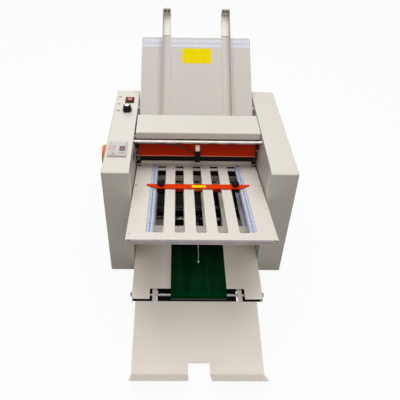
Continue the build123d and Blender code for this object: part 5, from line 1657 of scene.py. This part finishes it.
@dataclass
class Wardrobe:
    """Finish of every CAD node that keeps its own shape."""

    finishes: dict[str, Finish] = field(default_factory=lambda: {
        "base_pan": PAN_PAINT_AND_SHADE, "left_side_frame": FRAME_PAINT, "right_side_frame": FRAME_PAINT,
        "tie_bars": BAR_STEEL_AND_SHADE, "left_side_cover": CREAM, "right_side_cover": CREAM,
        "speed_control": BLACK_PLASTIC, "mains_inlet": BLACK_PLASTIC, "roller_bearings": BUSH_STEEL,
        "feed_idler_gear": GEAR_STEEL, "hand_idler_gear": GEAR_STEEL, "hand_wheel": ORANGE_PLASTIC,
        "motor_pulley": GEAR_STEEL, "drive_belts": BLACK_RUBBER, "feed_plate": TABLE_PAINT,
        "separator_pad": BLACK_RUBBER, "feed_roller": ROLLER_RUBBER, "right_feed_guide": TABLE_PAINT,
        "left_feed_guide": TABLE_PAINT, "right_tail_stop": TAIL_PAINT, "left_tail_stop": TAIL_PAINT,
        "hood": CREAM, "cross_bar": CHROME, "front_guard": GUARD_PAINT, "sensor_bracket": ZINC,
        "sensor_body": BLACK_PLASTIC, "sensor_cable": CABLE_RUBBER,
        "upper_front_plate": UPPER_PLATE_PAINT, "lower_front_plate": PLATE_PAINT,
        "upper_rear_plate": PLATE_PAINT, "lower_rear_plate": PLATE_PAINT, "plate_end_rails": ALUMINIUM,
        "delivery_plate": LIT_DELIVERY_PAINT, "delivery_front_roller": BLACK_RUBBER,
        "delivery_rear_roller": ROLLER_RUBBER, "hold_down_rod": SLEEVED_ROD, "receiving_tray": TRAY_PAINT,
        **{f"fold_roller_{index}": ROLLER_RUBBER for index in range(1, 7)},
    })

    def dress(self) -> None:
        """Put each finish on its node."""
        for name, finish in self.finishes.items():
            node = frame["nodes"][name]
            node.data.materials.clear()
            node.data.materials.append(finish.material())
            LOG.info("node %s dressed in %s", name, finish.name)


@dataclass(frozen=True)
class Lamp:
    """A square area lamp, with its places in metres."""

    name: str
    power: float
    size: float
    place: tuple[float, float, float]
    aim: tuple[float, float, float]
    colour: Colour = (1.0, 1.0, 1.0)

    def hang(self) -> None:
        """Hang the lamp and aim it."""
        data = bpy.data.lights.new(self.name, "AREA")
        data.energy = self.power
        data.size = self.size
        data.color = self.colour
        lamp = bpy.data.objects.new(self.name, data)
        lamp.location = self.place
        lamp.rotation_euler = (Vector(self.aim) - Vector(self.place)).to_track_quat("-Z", "Y").to_euler()
        bpy.context.scene.collection.objects.link(lamp)


@dataclass
class Studio:
    """Camera at the photograph's place, plain floor and soft light."""

    place: tuple[float, float, float] = (-64.9, -1123.9, 1113.6)
    pitch: float = 39.70
    roll: float = 1.24
    yaw: float = -1.137
    lens: float = 42.557
    sensor: float = 36.0
    shift: Pair = (0.0438, 0.0025)
    sight: float = 60.0
    floor_size: float = 24.0
    floor_drop: float = 0.5
    floor_grey: Colour = (0.14, 0.14, 0.14)
    floor_white: Colour = (0.95, 0.95, 0.95)
    floor_glow: float = 0.93
    sky_light: float = 0.2
    lamps: tuple[Lamp, ...] = (
        Lamp("overhead", 82.0, 3.2, (0.0, 0.1, 3.4), (0.0, 0.0, 0.2)),
        Lamp("rear_strip", 5.0, 1.2, (-0.6, 2.0, 1.7), (0.0, 0.0, 0.2)),
        Lamp("front_fill", 11.0, 1.6, (0.2, -2.2, 2.1), (0.0, -0.2, 0.1), (1.0, 0.90, 0.80)))

    def build_camera(self) -> None:
        """Place the camera and make it the scene's."""
        data = bpy.data.cameras.new("camera")
        data.lens = self.lens
        data.sensor_width = self.sensor
        data.sensor_fit = "HORIZONTAL"
        data.shift_x, data.shift_y = self.shift
        data.clip_end = self.sight
        camera = bpy.data.objects.new("camera", data)
        camera.matrix_world = (moved(*self.place) @ turned(self.yaw, "Z") @ turned(90.0 - self.pitch, "X")
                               @ turned(self.roll, "Z"))
        bpy.context.scene.collection.objects.link(camera)
        bpy.context.scene.camera = camera

    def seen_directly(self, tree: bpy.types.NodeTree) -> Socket:
        """Return one for rays that see a surface from the camera, in a mirror or through glass.

        Args:
            tree: The nodes of the floor or of the world.
        """
        path = tree.nodes.new("ShaderNodeLightPath")
        direct = path.outputs["Is Camera Ray"]
        for ray in ("Is Glossy Ray", "Is Transmission Ray"):
            either = tree.nodes.new("ShaderNodeMath")
            either.operation = "MAXIMUM"
            tree.links.new(direct, either.inputs[0])
            tree.links.new(path.outputs[ray], either.inputs[1])
            direct = either.outputs[0]
        return direct

    def build_floor(self) -> None:
        """Lay a white floor that keeps a soft shadow."""
        bm = bmesh.new()
        bmesh.ops.create_grid(bm, x_segments=1, y_segments=1, size=self.floor_size / 2)
        mesh = bpy.data.meshes.new("floor")
        bm.to_mesh(mesh)
        bm.free()
        floor = bpy.data.objects.new("floor", mesh)
        bpy.context.scene.collection.objects.link(floor)
        floor.location.z = -self.floor_drop * MM
        graph = Graph("floor_white")
        direct = self.seen_directly(graph.tree)
        tint = graph.blend(direct, shade(self.floor_grey), shade(self.floor_white))
        graph.surface(Base_Color=tint, Roughness=0.9, Specular_IOR_Level=0.0)
        glow = graph.add("ShaderNodeEmission")
        put(glow, Strength=1.0)
        mix = graph.add("ShaderNodeMixShader")
        graph.link(graph.math("MULTIPLY", direct, self.floor_glow), mix.inputs[0])
        graph.link(graph.shader.outputs[0], mix.inputs[1])
        graph.link(glow.outputs[0], mix.inputs[2])
        graph.link(mix.outputs[0], graph.output.inputs["Surface"])
        mesh.materials.append(graph.material)

    def build_light(self) -> None:
        """Light the scene from a pale sky and three large soft lamps."""
        bpy.context.scene.view_settings.view_transform = "Standard"
        world = bpy.data.worlds.new("studio")
        world.use_nodes = True
        tree = world.node_tree
        sky = tree.nodes["Background"]
        put(sky, Color=(1.0, 1.0, 1.0, 1.0))
        level = tree.nodes.new("ShaderNodeMapRange")
        put(level, To_Min=self.sky_light)
        tree.links.new(self.seen_directly(tree), level.inputs["Value"])
        tree.links.new(level.outputs[0], sky.inputs["Strength"])
        bpy.context.scene.world = world
        for lamp in self.lamps:
            lamp.hang()


def main() -> None:
    """Build the whole scene in order."""
    logging.basicConfig(level=logging.INFO, format="%(message)s")
    studio, covers, plates, table = Studio(), Covers(), FoldPlates(), FeedTable()
    switch, speed, delivery = PowerSwitch(), SpeedControl(), Delivery()
    studio.build_camera()
    Wardrobe().dress()
    covers.build_feet()
    plates.build_scales(table)
    for plate in plates.stop_places:
        plates.build_stop(plate)
    table.build_label()
    table.build_tail_screws()
    Fasteners().build([*plates.screw_frames(), *covers.screw_frames()])
    switch.build_bezel()
    switch.build_rocker()
    speed.build_knob()
    speed.build_marks()
    Counter().build()
    Motor().build()
    Guard().build_hem()
    delivery.build_belt()
    delivery.build_axle()
    delivery.build_under_sheet()
    delivery.build_collars()
    studio.build_floor()
    studio.build_light()


if __name__ == "__main__":
    main()
